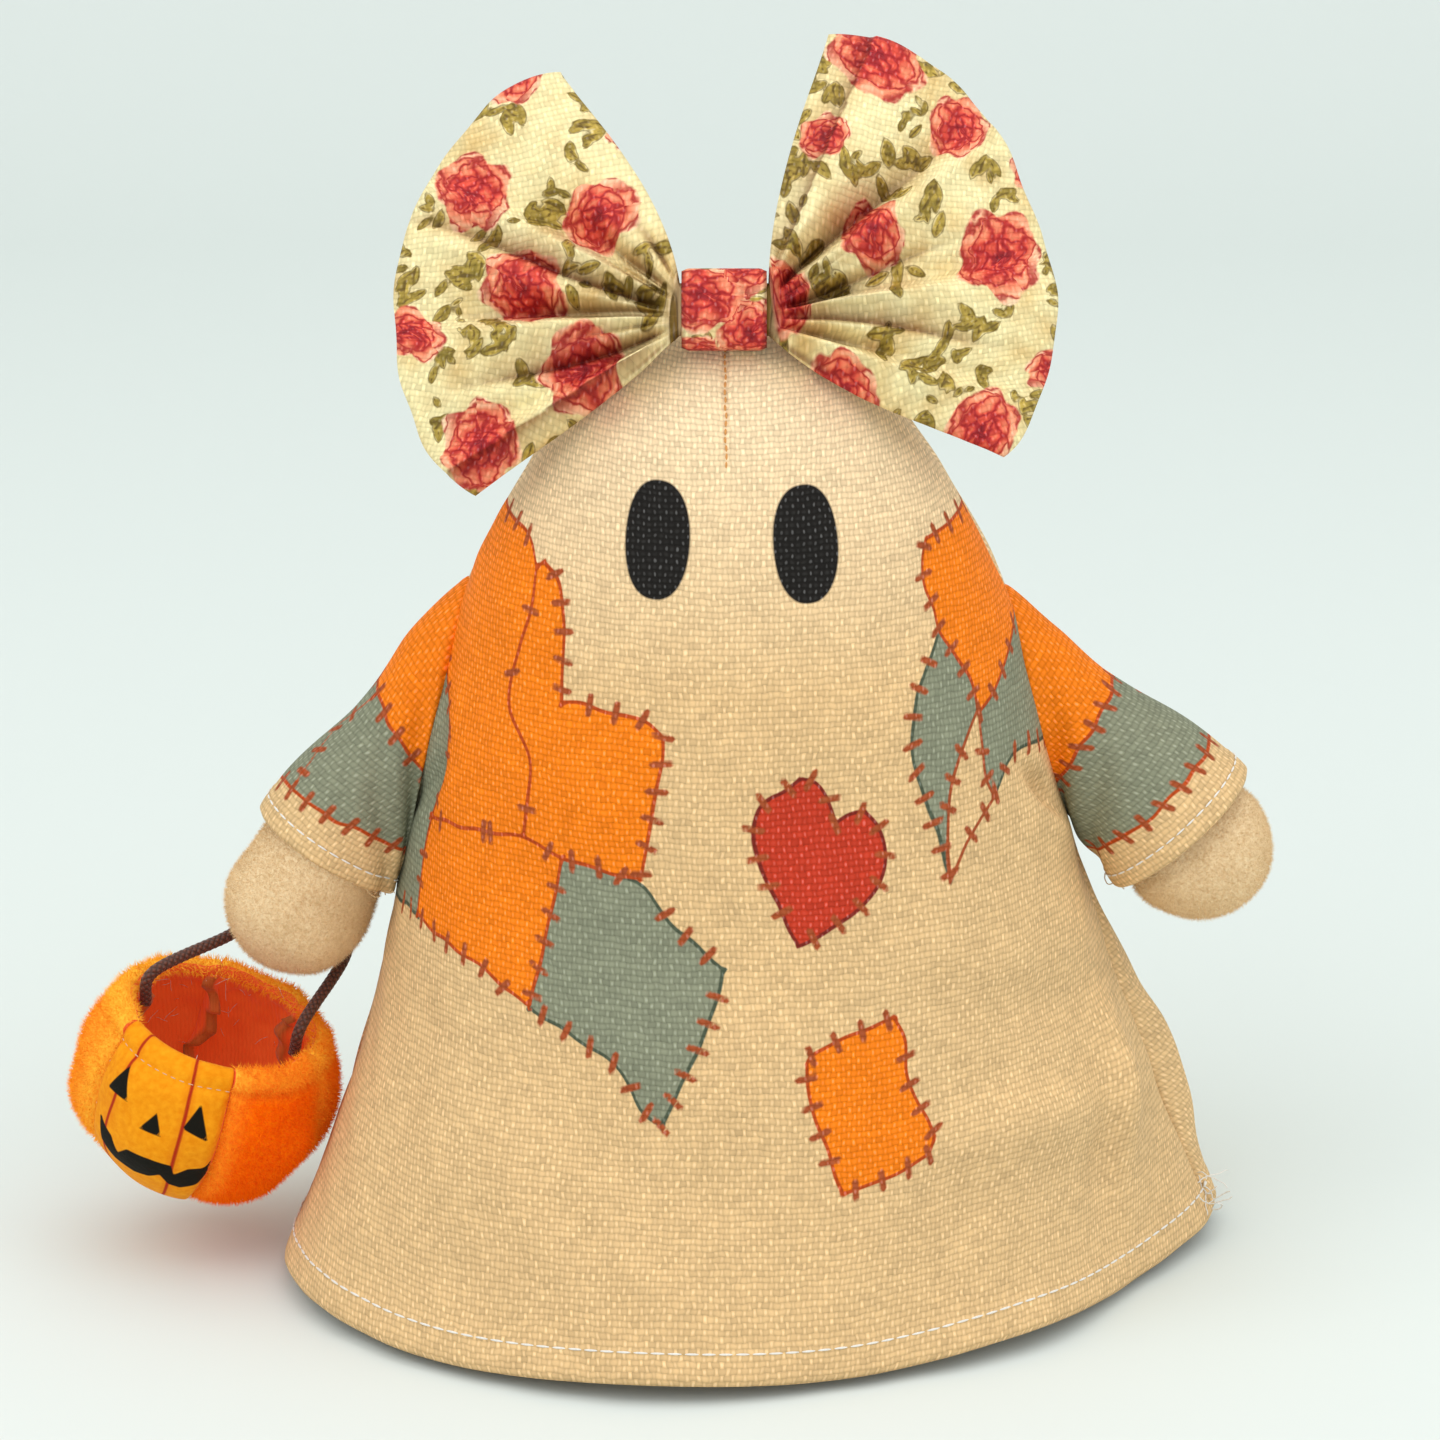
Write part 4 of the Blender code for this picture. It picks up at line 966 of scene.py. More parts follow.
def floral_burlap(name, settings):
    """The same coarse weave in cream, printed loosely with full roses and olive leaves, as if in watercolour."""
    made, tree, shader = new_material(name, roughness=0.62, specular=0.25)
    x, y = (add(tree, "Attribute", attribute_name=key, out=2) for key in ("rose_x", "rose_y"))
    place = add(tree, "UVMap", uv_map="cloth")
    rough = add(tree, "TexNoise", {"Vector": place, "Scale": 420.0, "Detail": 2.0})
    loose = add(tree, "TexNoise", {"Vector": place, "Scale": 330.0, "Detail": 2.0}, out=1)
    stray = add(tree, "VectorMath SUBTRACT", {0: loose, 1: (0.5, 0.5, 0.5)})
    stray = add(tree, "VectorMath SCALE", {0: stray, 3: 2.6})
    spot = add(tree, "VectorMath ADD", {0: add(tree, "CombineXYZ", x, y), 1: stray})
    x, y = add(tree, "SeparateXYZ", spot).node.outputs[:2]
    radius = add(tree, "VectorMath LENGTH", {0: add(tree, "CombineXYZ", x, y)}, out=1)
    angle = add(tree, "Math ARCTAN2", y, x)
    ring = add(tree, "Math MULTIPLY_ADD", angle, 0.17, add(tree, "Math MULTIPLY", radius, 0.66))
    petals = add(tree, "CombineXYZ", add(tree, "Math MULTIPLY", angle, 1.05), ring)
    edge = add(tree, "TexVoronoi", {"Vector": petals, "Scale": 1.0}, feature="DISTANCE_TO_EDGE")
    tint = add(tree, "TexVoronoi", {"Vector": petals, "Scale": 1.0}, out=1)
    depth = add(tree, "Math MULTIPLY_ADD", radius, 0.13, add(tree, "Math MULTIPLY_ADD", tint, 0.3, -0.22))
    depth = add(tree, "Math MULTIPLY_ADD", edge, 0.95, depth, use_clamp=True)
    petal = add(tree, "ValToRGB", depth)
    ramp = petal.node.color_ramp
    ramp.elements[-1].color = linear("#FCD6AE")
    for share, code in ((0.0, "#76101E"), (0.2, "#AE242A"), (0.38, "#DA4A38"), (0.62, "#EE8864")):
        stop = ramp.elements[0] if share == 0 else ramp.elements.new(share)
        stop.color = linear(code)
    outline = add(tree, "Math MULTIPLY_ADD", edge, -9.0, 1.2, use_clamp=True)
    rose = add(tree, "Mix", {0: add(tree, "Math MULTIPLY", outline, 0.85), 6: petal, 7: linear("#A41C1E")}, **RGBA)
    speck = add(tree, "Math MULTIPLY_ADD", rough, 3.2, -1.1, use_clamp=True)
    leaf = add(tree, "Mix", {0: speck, 6: linear("#BFA248"), 7: linear("#84702A")}, **RGBA)
    leaf = add(tree, "Mix", {0: field_mask(tree, "veins", 0.2), 6: leaf, 7: linear("#6A5420")}, **RGBA)
    wash = add(tree, "TexNoise", {"Vector": place, "Scale": 105.0, "Detail": 3.0})
    wash = add(tree, "Math MULTIPLY_ADD", wash, 3.4, -1.5, use_clamp=True)
    ground = add(tree, "Mix", {0: rough, 6: tuple(settings.bow_ground), 7: linear("#F0E0AC")}, **RGBA)
    ground = add(tree, "Mix", {0: add(tree, "Math MULTIPLY", wash, 0.75), 6: ground, 7: linear("#CDA258")}, **RGBA)
    stray = add(tree, "Math MULTIPLY_ADD", rough, 1.3, -0.65)
    colour = add(tree, "Mix", {0: field_mask(tree, "leaves", 0.3, stray), 6: ground, 7: leaf}, **RGBA)
    colour = add(tree, "Mix", {0: line_mask(tree, "leaves", 0.06), 6: colour, 7: linear("#66501C")}, **RGBA)
    colour = add(tree, "Mix", {0: field_mask(tree, "roses", 0.4, stray), 6: colour, 7: rose}, **RGBA)
    # Painted shade: the colour is darkened in the wings' creases and gathers, under their turned edges, on the knot's
    # edges and folds, and on its back
    hollow = add(tree, "Attribute", attribute_name="hollows", out=2)
    hollow = add(tree, "Math MULTIPLY", hollow, 0.9, use_clamp=True)
    colour = add(tree, "Mix", {0: hollow, 6: colour, 7: linear("#8A5630")}, blend_type="MULTIPLY", **RGBA)
    woven(tree, shader, colour, 0.1, settings, BOW_GAP_SHADE)
    return made


def plush(name, colour, deep, pile_scale, bump_depth, light=None, strength=0.0):
    """Short-pile polyester plush, brushed and sheared: soft and matt, darker down between its fibres, each a little
    different, and made paler by a painted highlight where a field of the mesh asks for it."""
    made, tree, shader = new_material(name, roughness=1.0, sheen=0.02, sheen_roughness=0.5, specular=0.0)
    # Painted glow in the pile's own colour
    glow(shader, colour, strength)
    place = add(tree, "TexCoord", out="Object")
    tuft = add(tree, "TexNoise", {"Vector": place, "Scale": pile_scale, "Detail": 4.0, "Roughness": 0.65})
    fibre = add(tree, "TexNoise", {"Vector": place, "Scale": 2900.0, "Detail": 1.0})
    brushed = add(tree, "TexNoise", {"Vector": place, "Scale": 150.0, "Detail": 2.0})
    share = add(tree, "MapRange", {0: tuft, 1: 0.36, 2: 0.64, 3: 0.0, 4: 0.6})
    share = add(tree, "Math MULTIPLY_ADD", brushed, 0.7, add(tree, "Math ADD", share, -0.15))
    share = add(tree, "Math MULTIPLY_ADD", fibre, 1.1, add(tree, "Math ADD", share, -0.45), use_clamp=True)
    shown = add(tree, "Mix", {0: share, 6: deep, 7: colour}, **RGBA)
    # Painted highlight: a per-point field of the mesh makes the pile paler, towards the light colour
    if light:
        nap = add(tree, "Attribute", attribute_name="nap", out=2)
        uneven = add(tree, "Math MULTIPLY_ADD", share, 0.5, 0.72)
        nap = add(tree, "Math MULTIPLY", nap, uneven, use_clamp=True)
        shown = add(tree, "Mix", {0: nap, 6: shown, 7: light}, **RGBA)
    coated(tree, shader, shown, tuft, bump_depth)
    return made


def knit_back(name, colour, deep):
    """The wrong side of plush, a fine warp knit: smooth rows of small loops, half matt, with a painted glow in its
    own colour standing in for light that comes a little through it, and brown along its raw edges."""
    made, tree, shader = new_material(name, roughness=0.75, sheen=0.1, specular=0.3)
    # Painted glow in its own colour, for light coming through the thin wall
    glow(shader, colour, THIN_WALL_PAINTED_GLOW)
    place = add(tree, "TexCoord", out="Object")
    loops = add(tree, "TexWave", {"Vector": place, "Scale": 420.0, "Distortion": 3.0, "Detail": 2.0},
                wave_type="BANDS", bands_direction="X")
    grime = add(tree, "TexNoise", {"Vector": place, "Scale": 160.0, "Detail": 4.0})
    share = add(tree, "Math MULTIPLY", grime, 0.85)
    share = add(tree, "Math MULTIPLY_ADD", loops, 0.15, share, use_clamp=True)
    raw = add(tree, "Attribute", attribute_name="raw_edge", out=2)
    raw = add(tree, "Math MULTIPLY", raw, add(tree, "Math MULTIPLY_ADD", grime, 1.6, 0.1), use_clamp=True)
    shown = add(tree, "Mix", {0: share, 6: deep, 7: colour}, **RGBA)
    shown = add(tree, "Mix", {0: raw, 6: shown, 7: linear("#7C4214")}, **RGBA)
    coated(tree, shader, shown, loops, 0.15, 0.6)
    return made


def brushed_face(name, settings):
    """Brushed polyester of the printed panel: smooth and almost matt, with crisp black print."""
    made, tree, shader = new_material(name, roughness=0.8, sheen=0.03, sheen_roughness=0.4, specular=0.1)
    place = add(tree, "TexCoord", out="Object")
    nap = add(tree, "TexNoise", {"Vector": place, "Scale": 900.0, "Detail": 3.0})
    blush = add(tree, "TexNoise", {"Vector": place, "Scale": 60.0, "Detail": 1.0})
    colour = add(tree, "Mix", {0: blush, 6: linear("#E07C04"), 7: tuple(settings.pumpkin_face)}, **RGBA)
    lit = add(tree, "Math MULTIPLY_ADD", nap, 1.6, -0.5, use_clamp=True)
    colour = add(tree, "Mix", {0: lit, 6: colour, 7: linear("#FBAA1C")}, **RGBA)
    shade = add(tree, "Math MULTIPLY", field_mask(tree, "ribs", 1.6, 0.4), 0.55)
    colour = add(tree, "Mix", {0: shade, 6: colour, 7: linear("#E0720C")}, **RGBA)
    colour = add(tree, "Mix", {0: field_mask(tree, "ribs", 0.3), 6: colour, 7: linear("#AE2C12")}, **RGBA)
    colour = add(tree, "Mix", {0: field_mask(tree, "features", 0.25), 6: colour, 7: linear("#17150F")}, **RGBA)
    coated(tree, shader, colour, nap, 0.25, 0.5)
    return made


def thread(name, colour):
    """Spun polyester sewing thread: two plies with a soft gleam along them."""
    made, tree, shader = new_material(name, roughness=0.6, sheen=0.2, specular=0.35)
    place = add(tree, "TexCoord", out="Object")
    ply = add(tree, "TexNoise", {"Vector": place, "Scale": 2600.0, "Detail": 1.0})
    coated(tree, shader, add(tree, "Mix", {0: ply, 6: shaded(colour, 0.72), 7: colour}, **RGBA))
    return made


def braid(name, colour):
    """Braided polyester cord: flat strands that cross in small diamonds, with a low sheen."""
    made, tree, shader = new_material(name, roughness=0.5, sheen=0.15, specular=0.45)
    place = add(tree, "SeparateXYZ", add(tree, "UVMap", uv_map="cloth")).node.outputs
    across = add(tree, "Math MULTIPLY", place[0], 1 / MM / CORD_DIAMETER / math.pi * CORD_STRANDS)
    along = add(tree, "Math MULTIPLY", place[1], 1 / MM / BRAID_PITCH)
    strands = []
    for way in ("ADD", "SUBTRACT"):
        turn = add(tree, "Math MULTIPLY", add(tree, "Math " + way, across, along), math.pi)
        strands.append(add(tree, "Math ABSOLUTE", add(tree, "Math SINE", turn)))
    height = add(tree, "Math MULTIPLY", *strands)
    # Painted shade where the strands dip and painted highlight on their tops: dark and light copies of the cord's
    # colour
    shown = add(tree, "Mix", {0: height, 6: shaded(colour, 0.5), 7: shaded(colour, 1.5)}, **RGBA)
    coated(tree, shader, shown, height, 0.2)
    return made


def lining(name, code_light, code_dark, lump_scale, lump_depth):
    """Polyester lining pulled smooth over what it holds: faint lumps of the filling show through."""
    made, tree, shader = new_material(name, roughness=0.8, sheen=0.15)
    place = add(tree, "TexCoord", out="Object")
    lumps = add(tree, "TexNoise", {"Vector": place, "Scale": lump_scale, "Detail": 3.0})
    shown = add(tree, "Mix", {0: lumps, 6: linear(code_dark), 7: linear(code_light)}, **RGBA)
    coated(tree, shader, shown, lumps, lump_depth, 0.6)
    return made


def material(name, maker, *values):
    """The named material, made the first time that it is asked for."""
    return bpy.data.materials.get(name) or maker(name, *values)


# Threads and pile, which repeat along a line or over a surface

def spread_over(tree, points, instance, aim, size):
    """Real copies of an instance on points, each turned and sized as its fields say."""
    feeds = {"Points": points, "Instance": instance, "Rotation": aim, "Scale": size}
    return add(tree, "GeometryNodeRealizeInstances", add(tree, "GeometryNodeInstanceOnPoints", feeds))


def stitch_tree():
    """Geometry nodes: a line of thread stitches, one for each step along the line."""
    if "stitch_line" in bpy.data.node_groups:
        return bpy.data.node_groups["stitch_line"]
    sizes = {"Pitch": "Float", "Length": "Float", "Thickness": "Float"}
    tree, given, ends = node_group(
        "stitch_line", "GeometryNodeTree", {"Line": "Geometry", **sizes, "Thread": "Material"},
        {"Stitches": "Geometry"})
    curve = add(tree, "GeometryNodeMeshToCurve", {"Mesh": given["Line"]})
    points = add(tree, "GeometryNodeResampleCurve", {"Curve": curve, "Length": given["Pitch"]}, mode="LENGTH")
    aim = add(tree, "FunctionNodeAlignRotationToVector", {"Vector": add(tree, "GeometryNodeInputTangent")})
    stitch = add(tree, "GeometryNodeMeshUVSphere", {"Segments": 8, "Rings": 6, "Radius": 0.5})
    size = add(tree, "CombineXYZ", given["Thickness"], given["Thickness"], given["Length"])
    line = spread_over(tree, points, stitch, aim, size)
    line = add(tree, "GeometryNodeSetShadeSmooth", {"Geometry": line})
    line = add(tree, "GeometryNodeSetMaterial", {"Geometry": line, "Material": given["Thread"]})
    tree.links.new(line, ends["Stitches"])
    return tree


def pile_tree():
    """Geometry nodes: short fibres that stand on a surface and lean a little, each its own way."""
    if "short_pile" in bpy.data.node_groups:
        return bpy.data.node_groups["short_pile"]
    sizes = {"Density": "Float", "Length": "Float", "Thickness": "Float", "Lean": "Float", "Seed": "Int"}
    tree, given, ends = node_group(
        "short_pile", "GeometryNodeTree", {"Cloth": "Geometry", **sizes, "Fibre": "Material"},
        {"Pile": "Geometry"})
    seed = given["Seed"]
    points = add(tree, "GeometryNodeDistributePointsOnFaces",
                 {"Mesh": given["Cloth"], "Density": given["Density"], "Seed": seed})
    lean = add(tree, "FunctionNodeRandomValue", {"Min": (-1, -1, -1), "Max": (1, 1, 1), "Seed": seed},
               data_type="FLOAT_VECTOR")
    lean = add(tree, "VectorMath SCALE", {0: lean, "Scale": given["Lean"]})
    way = add(tree, "VectorMath ADD", points.node.outputs["Normal"], lean)
    aim = add(tree, "FunctionNodeAlignRotationToVector", {"Vector": way})
    fibre = add(tree, "GeometryNodeMeshCone", {"Vertices": 3, "Radius Top": 0.0, "Radius Bottom": 0.5, "Depth": 1.0})
    share = add(tree, "FunctionNodeRandomValue", {2: 0.6, 3: 1.15, "Seed": seed}, out=1)
    length = add(tree, "Math MULTIPLY", share, given["Length"])
    size = add(tree, "CombineXYZ", given["Thickness"], given["Thickness"], length)
    pile = spread_over(tree, points, fibre, aim, size)
    pile = add(tree, "GeometryNodeSetMaterial", {"Geometry": pile, "Material": given["Fibre"]})
    tree.links.new(pile, ends["Pile"])
    return tree


def grown(piece, tree, values):
    """Runs a geometry nodes tree on a helper piece with these inputs and leaves its plain result."""
    modifier = piece.modifiers.new(tree.name, "NODES")
    modifier.node_group = tree
    for item in tree.interface.items_tree:
        if item.in_out == "INPUT" and item.name in values:
            modifier[item.identifier] = values[item.name]
    return baked(piece)


def sewn_line(name, points, pitch, length, thickness, made):
    """A line of stitches through these points, in millimetres."""
    points = np.asarray(points, float)
    mesh = bpy.data.meshes.new(name)
    mesh.from_pydata((points * MM).tolist(), [(k, k + 1) for k in range(len(points) - 1)], [])
    line = bpy.data.objects.new(name, mesh)
    bpy.context.scene.collection.objects.link(line)
    sizes = {"Pitch": pitch * MM, "Length": length * MM, "Thickness": thickness * MM, "Thread": made}
    return grown(line, stitch_tree(), sizes)


def pile_on(name, points, faces, density, length, thickness, lean, seed, made, nap=0.0):
    """Short pile over these faces, in millimetres, with so many fibres to the square centimetre."""
    # The fibres' ground carries the painted highlight field of the panel under it
    ground = mesh_piece(name, points, faces, [made], fields={"nap": nap + np.zeros(np.shape(points)[:-1])})
    sizes = {
        "Density": density * 1e4, "Length": length * MM, "Thickness": thickness * MM,
        "Lean": lean, "Seed": seed, "Fibre": made,
    }
    return grown(ground, pile_tree(), sizes)


def loose_thread(rng, start, way, length, curl=0.9, steps=14):
    """The middle line of a loose end of thread: it starts along way and wanders as it likes."""
    points, heading = [np.array(start, float)], np.array(way, float)
    for _ in range(steps):
        heading = heading + rng.normal(0, curl / 3, 3)
        heading = heading / np.linalg.norm(heading)
        points.append(points[-1] + heading * length / steps)
    return np.array(points)


def thread_tubes(name, lines, radius, made, sides=5):
    """Thin round threads along several lines, as one piece."""
    points, faces = [], []
    for line in lines:
        ahead = unit(np.gradient(line, axis=0))
        side = unit(np.cross(ahead, (0.31, 0.47, 0.83)))
        other = np.cross(ahead, side)
        first = len(points)
        for k, spot in enumerate(line):
            thin = radius * (0.55 if k in (0, len(line) - 1) else 1.0)
            for j in range(sides):
                angle = math.tau * j / sides
                points.append(spot + thin * (side[k] * math.cos(angle) + other[k] * math.sin(angle)))
        faces += grid_faces(len(line), sides, first, True)
        last = first + (len(line) - 1) * sides
        faces += [list(range(first, first + sides)), list(range(last, last + sides))]
    return mesh_piece(name, points, faces, [made])


# Pieces

def settings():
    return bpy.context.scene.plush_ghost


def burlap_material(name, prints):
    return material(name, burlap, prints, settings())


# Fields printed on the robe's front and on the sleeves, in the order in which they are laid on
ROBE_PRINTS = ["sage_a", "sage_b", "orange_a", "orange_b", "orange_c", "tan", "heart", "stitches", "eyes"]
SLEEVE_PRINTS = ["grey_a", "orange_a", "stitches", "lines"]
# Rows and columns of the front panel's grid, which carries the prints, and of the back's
ROBE_GRID = {-1: (213, 281), 1: (137, 185)}
# The inner faces of the robe and the sleeves keep every so many rows and columns
ROBE_INNER_STEP = 4
SLEEVE_INNER_STEP = 2
CUFF_STITCH = 3.4
HEM_DEPTH = 6.5
HEM_THICKNESS = 2.1
ROBE_CLOTH = 1.2
SEAM_BULGE = 5.6
HEM_LOOSE_ENDS = 11
CUFF_LOOSE_ENDS = 7


def panel_grid(side):
    """A robe panel, front (side -1) or back (side 1): its points, places across and up its cloth, and normals."""
    rows, columns = ROBE_GRID[side]
    shares, heights = cloth_rows(rows)
    angles = (-math.pi if side < 0 else 0.0) + math.pi * np.arange(columns) / (columns - 1)
    angle, share = np.meshgrid(angles, shares)
    grid = robe_point(angle, share)
    run = run_lengths(grid, 1)
    u = run - run[:, columns // 2][:, None]
    v = np.repeat(heights[:, None], columns, 1)
    normals = grid_normals(grid)
    normals[share > 0.9995] = (0, 0, 1)
    return grid, u, v, normals


def robe_relief(side, u, v, rng):
    cloth = np.stack([u, v], -1)
    folds = FRONT_FOLDS if side < 0 else BACK_FOLDS
    fade = 1 - smooth(120, 185, v)
    soft = 0.35 * ripples(cloth, 42, rng) + 0.14 * ripples(cloth, 13, rng)
    return folds_height(u, v, folds) + soft * (0.35 + 0.65 * fade)


def robe_panel(side):
    grid, u, v, normals = panel_grid(side)
    rng = np.random.default_rng(SEED + side)
    relief = robe_relief(side, u, v, rng)
    edge = np.minimum(u - u[:, :1], u[:, -1:] - u)
    seam = 1 - smooth(0, 2.6, edge)
    crown = smooth(178, 190, v)
    relief = relief * (1 - seam) * (1 - crown) - 0.9 * seam**2 * (1 - crown)
    if side < 0:
        dart_far = np.abs(u - np.interp(v, *np.array([(y, x) for x, y in DART[::-1]]).T))
        relief -= 0.45 * np.exp(-((dart_far / 0.9) ** 2)) * smooth(153, 160, v)
    if side > 0:
        from_seam = u - u[:, :1]
        relief += SEAM_BULGE * np.exp(-(((from_seam - 8) / 5.5) ** 2) - ((v - 30) / 20) ** 2)
    hem = 1 - smooth(HEM_DEPTH - 0.7, HEM_DEPTH + 0.5, v)
    pucker = 0.22 * np.exp(-(((v - HEM_DEPTH + 1.4) / 0.8) ** 2)) * (0.6 + 0.4 * np.cos(u * math.tau / 3.3))
    full = mix(ROBE_CLOTH, HEM_THICKNESS, hem)
    thickness = edge_round(v, full)
    gap = np.array((0, side * SEAM_GAP / 2, 0))
    outer = grid + gap + normals * (relief + 0.3 * hem - pucker - (full - thickness) / 2)[..., None]
    inner = outer - normals * thickness[..., None]
    plain = burlap_material("faux_burlap", [])
    if side > 0:
        return cloth_mesh("robe_back_panel", outer, inner, [plain], u, v, every=ROBE_INNER_STEP)
    fields = robe_prints(u, v, rng)
    # Painted light and shade: how steeply the relief turns up or down, which the material turns into paler or darker
    # colour
    fields["upturned"] = np.clip(-np.gradient(relief, axis=0) / np.gradient(v, axis=0), -1, 1)
    made = [burlap_material("printed_faux_burlap", ROBE_PRINTS), plain]
    return cloth_mesh("robe_front_panel", outer, inner, made, u, v, fields, ROBE_INNER_STEP)


def robe_prints(u, v, rng):
    fields, rings = {}, []
    waver = 0.22 * ripples(np.stack([u, v], -1), 9, rng, 10)
    for name, patches in FRONT_FIELDS.items():
        drawn_patches = [drawn(patch) for patch in patches]
        rings += drawn_patches
        fields[name] = patch_field(u + waver, v + waver, drawn_patches)

    def outer_edge(x, y):
        return abs(x) < 80 and 20 < y < 150 and polyline_far(x, y, INNER_LINES) > INNER_CLEAR

    placed = stitches_across(rings, rng, keep=outer_edge)
    placed += [(np.array(spot), np.array((1.0, rng.normal(0, 0.25)))) for spot in INNER_STITCHES[:3]]
    placed += [(np.array(spot), np.array((rng.normal(0, 0.25), 1.0))) for spot in INNER_STITCHES[3:]]
    fields["stitches"] = stitch_field(u, v, placed)
    ovals = [oval(spot, EYE_HALF_WIDTH, EYE_HALF_HEIGHT, tilt) for spot, tilt in zip(EYES, EYE_TILTS)]
    fields["eyes"] = patch_field(u, v, ovals)
    return fields


def line_on_panel(side, height, lift):
    """A line across a robe panel at this height up its cloth, just proud of its face."""
    grid, u, v, normals = panel_grid(side)
    rng = np.random.default_rng(SEED + side)
    relief = robe_relief(side, u, v, rng)
    edge = np.minimum(u - u[:, :1], u[:, -1:] - u)
    relief = relief * smooth(0, 2.6, edge)
    surface = grid + normals * (relief + lift)[..., None]
    row = np.argmin(np.abs(v[:, 0] - height))
    return surface[row]


def emerging(arm, angles, radii, limit):
    """The distance along an arm at which each line of it comes out of the robe, evened out round it."""
    reach = np.linspace(0, arm.length - arm.showing, 300)
    far, turned = np.meshgrid(reach, angles, indexing="ij")
    outside = robe_outside(arm.ring(far, *radii(far), turned))
    last = np.array([np.flatnonzero(outside[:, k] < limit).max(initial=0) for k in range(len(angles))])
    start = reach[last]
    ring = start[:-1]
    for _ in range(6):
        ring = (np.roll(ring, 1) + 2 * ring + np.roll(ring, -1)) / 4
    return np.append(ring, ring[0])


def sleeve(side):
    arm = Arm(side)
    rows, columns = 81, 145
    rng = np.random.default_rng(SEED + 20 + (side == "left"))
    angles = np.linspace(-math.pi, math.pi, columns)
    cuff_reach = arm.length - arm.showing
    start = emerging(arm, angles, arm.sleeve_radii, SLEEVE_ROOT)
    share = np.linspace(0, 1, rows)[:, None]
    reach = mix(start[None, :], cuff_reach, share)
    turned = np.repeat(angles[None, :], rows, 0)
    half = arm.sleeve_radii(reach)
    grid = arm.ring(reach, *half, turned)
    centre = arm.place(reach)
    normals = grid_normals(grid, True, centre)
    from_seam, from_cuff = reach - start[None, :], cuff_reach - reach
    u, v = turned * (half[0] + half[1]) / 2, reach
    bend = np.stack([np.cos(turned), np.sin(turned)], -1)
    creases = 0.0
    for near, at, deep in ((5, 0.35, -1.1), (10, -0.4, 0.8), (16, 0.9, -0.7), (22, -0.7, 0.4)):
        crease = deep * np.exp(-(((from_seam - near - 3 * bend[..., 0]) / 2.6) ** 2))
        creases = creases + crease * (0.5 - 0.5 * bend[..., 0] * at)
    sag = 0.3 * np.cos(3 * turned + 1.0) * smooth(14, 0, from_cuff)
    creases = creases * (1 - 0.8 * smooth(0.1, 0.8, bend[..., 0]))
    relief = creases + sag + 0.22 * ripples(grid, 17, rng)
    relief = relief * smooth(0, 3, from_seam) - 1.1 * (1 - smooth(0, 2.2, from_seam)) ** 2
    hem = 1 - smooth(HEM_DEPTH - 2.4, HEM_DEPTH - 1.4, from_cuff)
    pucker = 0.16 * np.exp(-(((from_cuff - CUFF_STITCH) / 0.7) ** 2))
    full = mix(SLEEVE_CLOTH, 1.8, hem)
    thickness = edge_round(from_cuff, full)
    outer = grid + normals * (relief + 0.25 * hem - pucker - (full - thickness) / 2)[..., None]
    inner = outer - normals * thickness[..., None]
    clock = np.linspace(-math.pi, math.pi, 5)
    around = np.linspace(-math.pi, math.pi, 200)
    waver = 0.3 * ripples(grid, 8, rng, 8)
    fields, rings = {}, []
    for name, band in zip(("orange_a", "grey_a"), SLEEVE_BANDS[side]):
        fields[name] = np.clip(reach - np.interp(turned, clock, band) + waver, -FAR, FAR)
        edge_reach = np.interp(around, clock, band)
        rings.append(np.stack([around * sum(arm.sleeve_radii(edge_reach)) / 2, edge_reach], -1))
    line = [(math.radians(turn) * sum(arm.sleeve_radii(place)) / 2, place) for place, turn in SLEEVE_LINES[side]]
    line = np.array(line)
    fields["lines"] = polyline_far(u, v, [line]) - SLEEVE_LINE_HALF
    placed = stitches_across([*rings, line], rng, pitch=4.6, closed=False)
    fields["stitches"] = stitch_field(u, v, placed)
    made = [burlap_material("printed_sleeve_burlap", SLEEVE_PRINTS), burlap_material("faux_burlap", [])]
    piece = cloth_mesh(f"sleeve_{side}_cloth", outer, inner, made, u, v, fields, SLEEVE_INNER_STEP, closed=True)
    level = (1 - CUFF_STITCH / (cuff_reach - start)) * (rows - 1)
    below = np.floor(level).astype(int)
    column = np.arange(columns)
    proud = outer + normals * 0.12
    return piece, mix(proud[below, column], proud[below + 1, column], (level - below)[:, None])


def arm_shape(side):
    """The points of a stuffed arm, closed at its root and round at its hand, and how far along it each is."""
    arm = Arm(side)
    columns = 97
    rng = np.random.default_rng(SEED + 40 + (side == "left"))
    angles = np.linspace(-math.pi, math.pi, columns)
    start = emerging(arm, angles, arm.radii, ARM_ROOT)
    palm = arm.length - HAND_RADIUS
    body = mix(start[None, :], palm, np.linspace(0, 1, 46)[:, None])
    round_end = palm + HAND_RADIUS * np.sin(np.linspace(0, math.pi / 2, 25))[1:, None] * 0.9999
    reach = np.concatenate([body, np.repeat(round_end, columns, 1)])
    turned = np.repeat(angles[None, :], len(reach), 0)
    half = arm.radii(reach)
    grid = arm.ring(reach, *half, turned)
    normals = grid_normals(grid, True, arm.place(np.minimum(reach, palm)))
    lumps = 0.35 * ripples(grid, 15, rng) * smooth(0, 4, arm.length - reach)
    grid = grid + normals * lumps[..., None]
    root = np.repeat(grid[:1].mean(axis=1, keepdims=True), columns, 1)
    tip = np.repeat(grid[-1:].mean(axis=1, keepdims=True), columns, 1)
    return np.concatenate([root, grid, tip]), np.concatenate([reach[:1], reach, reach[-1:]]), arm


def closed_piece(name, grid, made):
    rows, columns = grid.shape[:2]
    return mesh_piece(name, grid, grid_faces(rows, columns), [made])


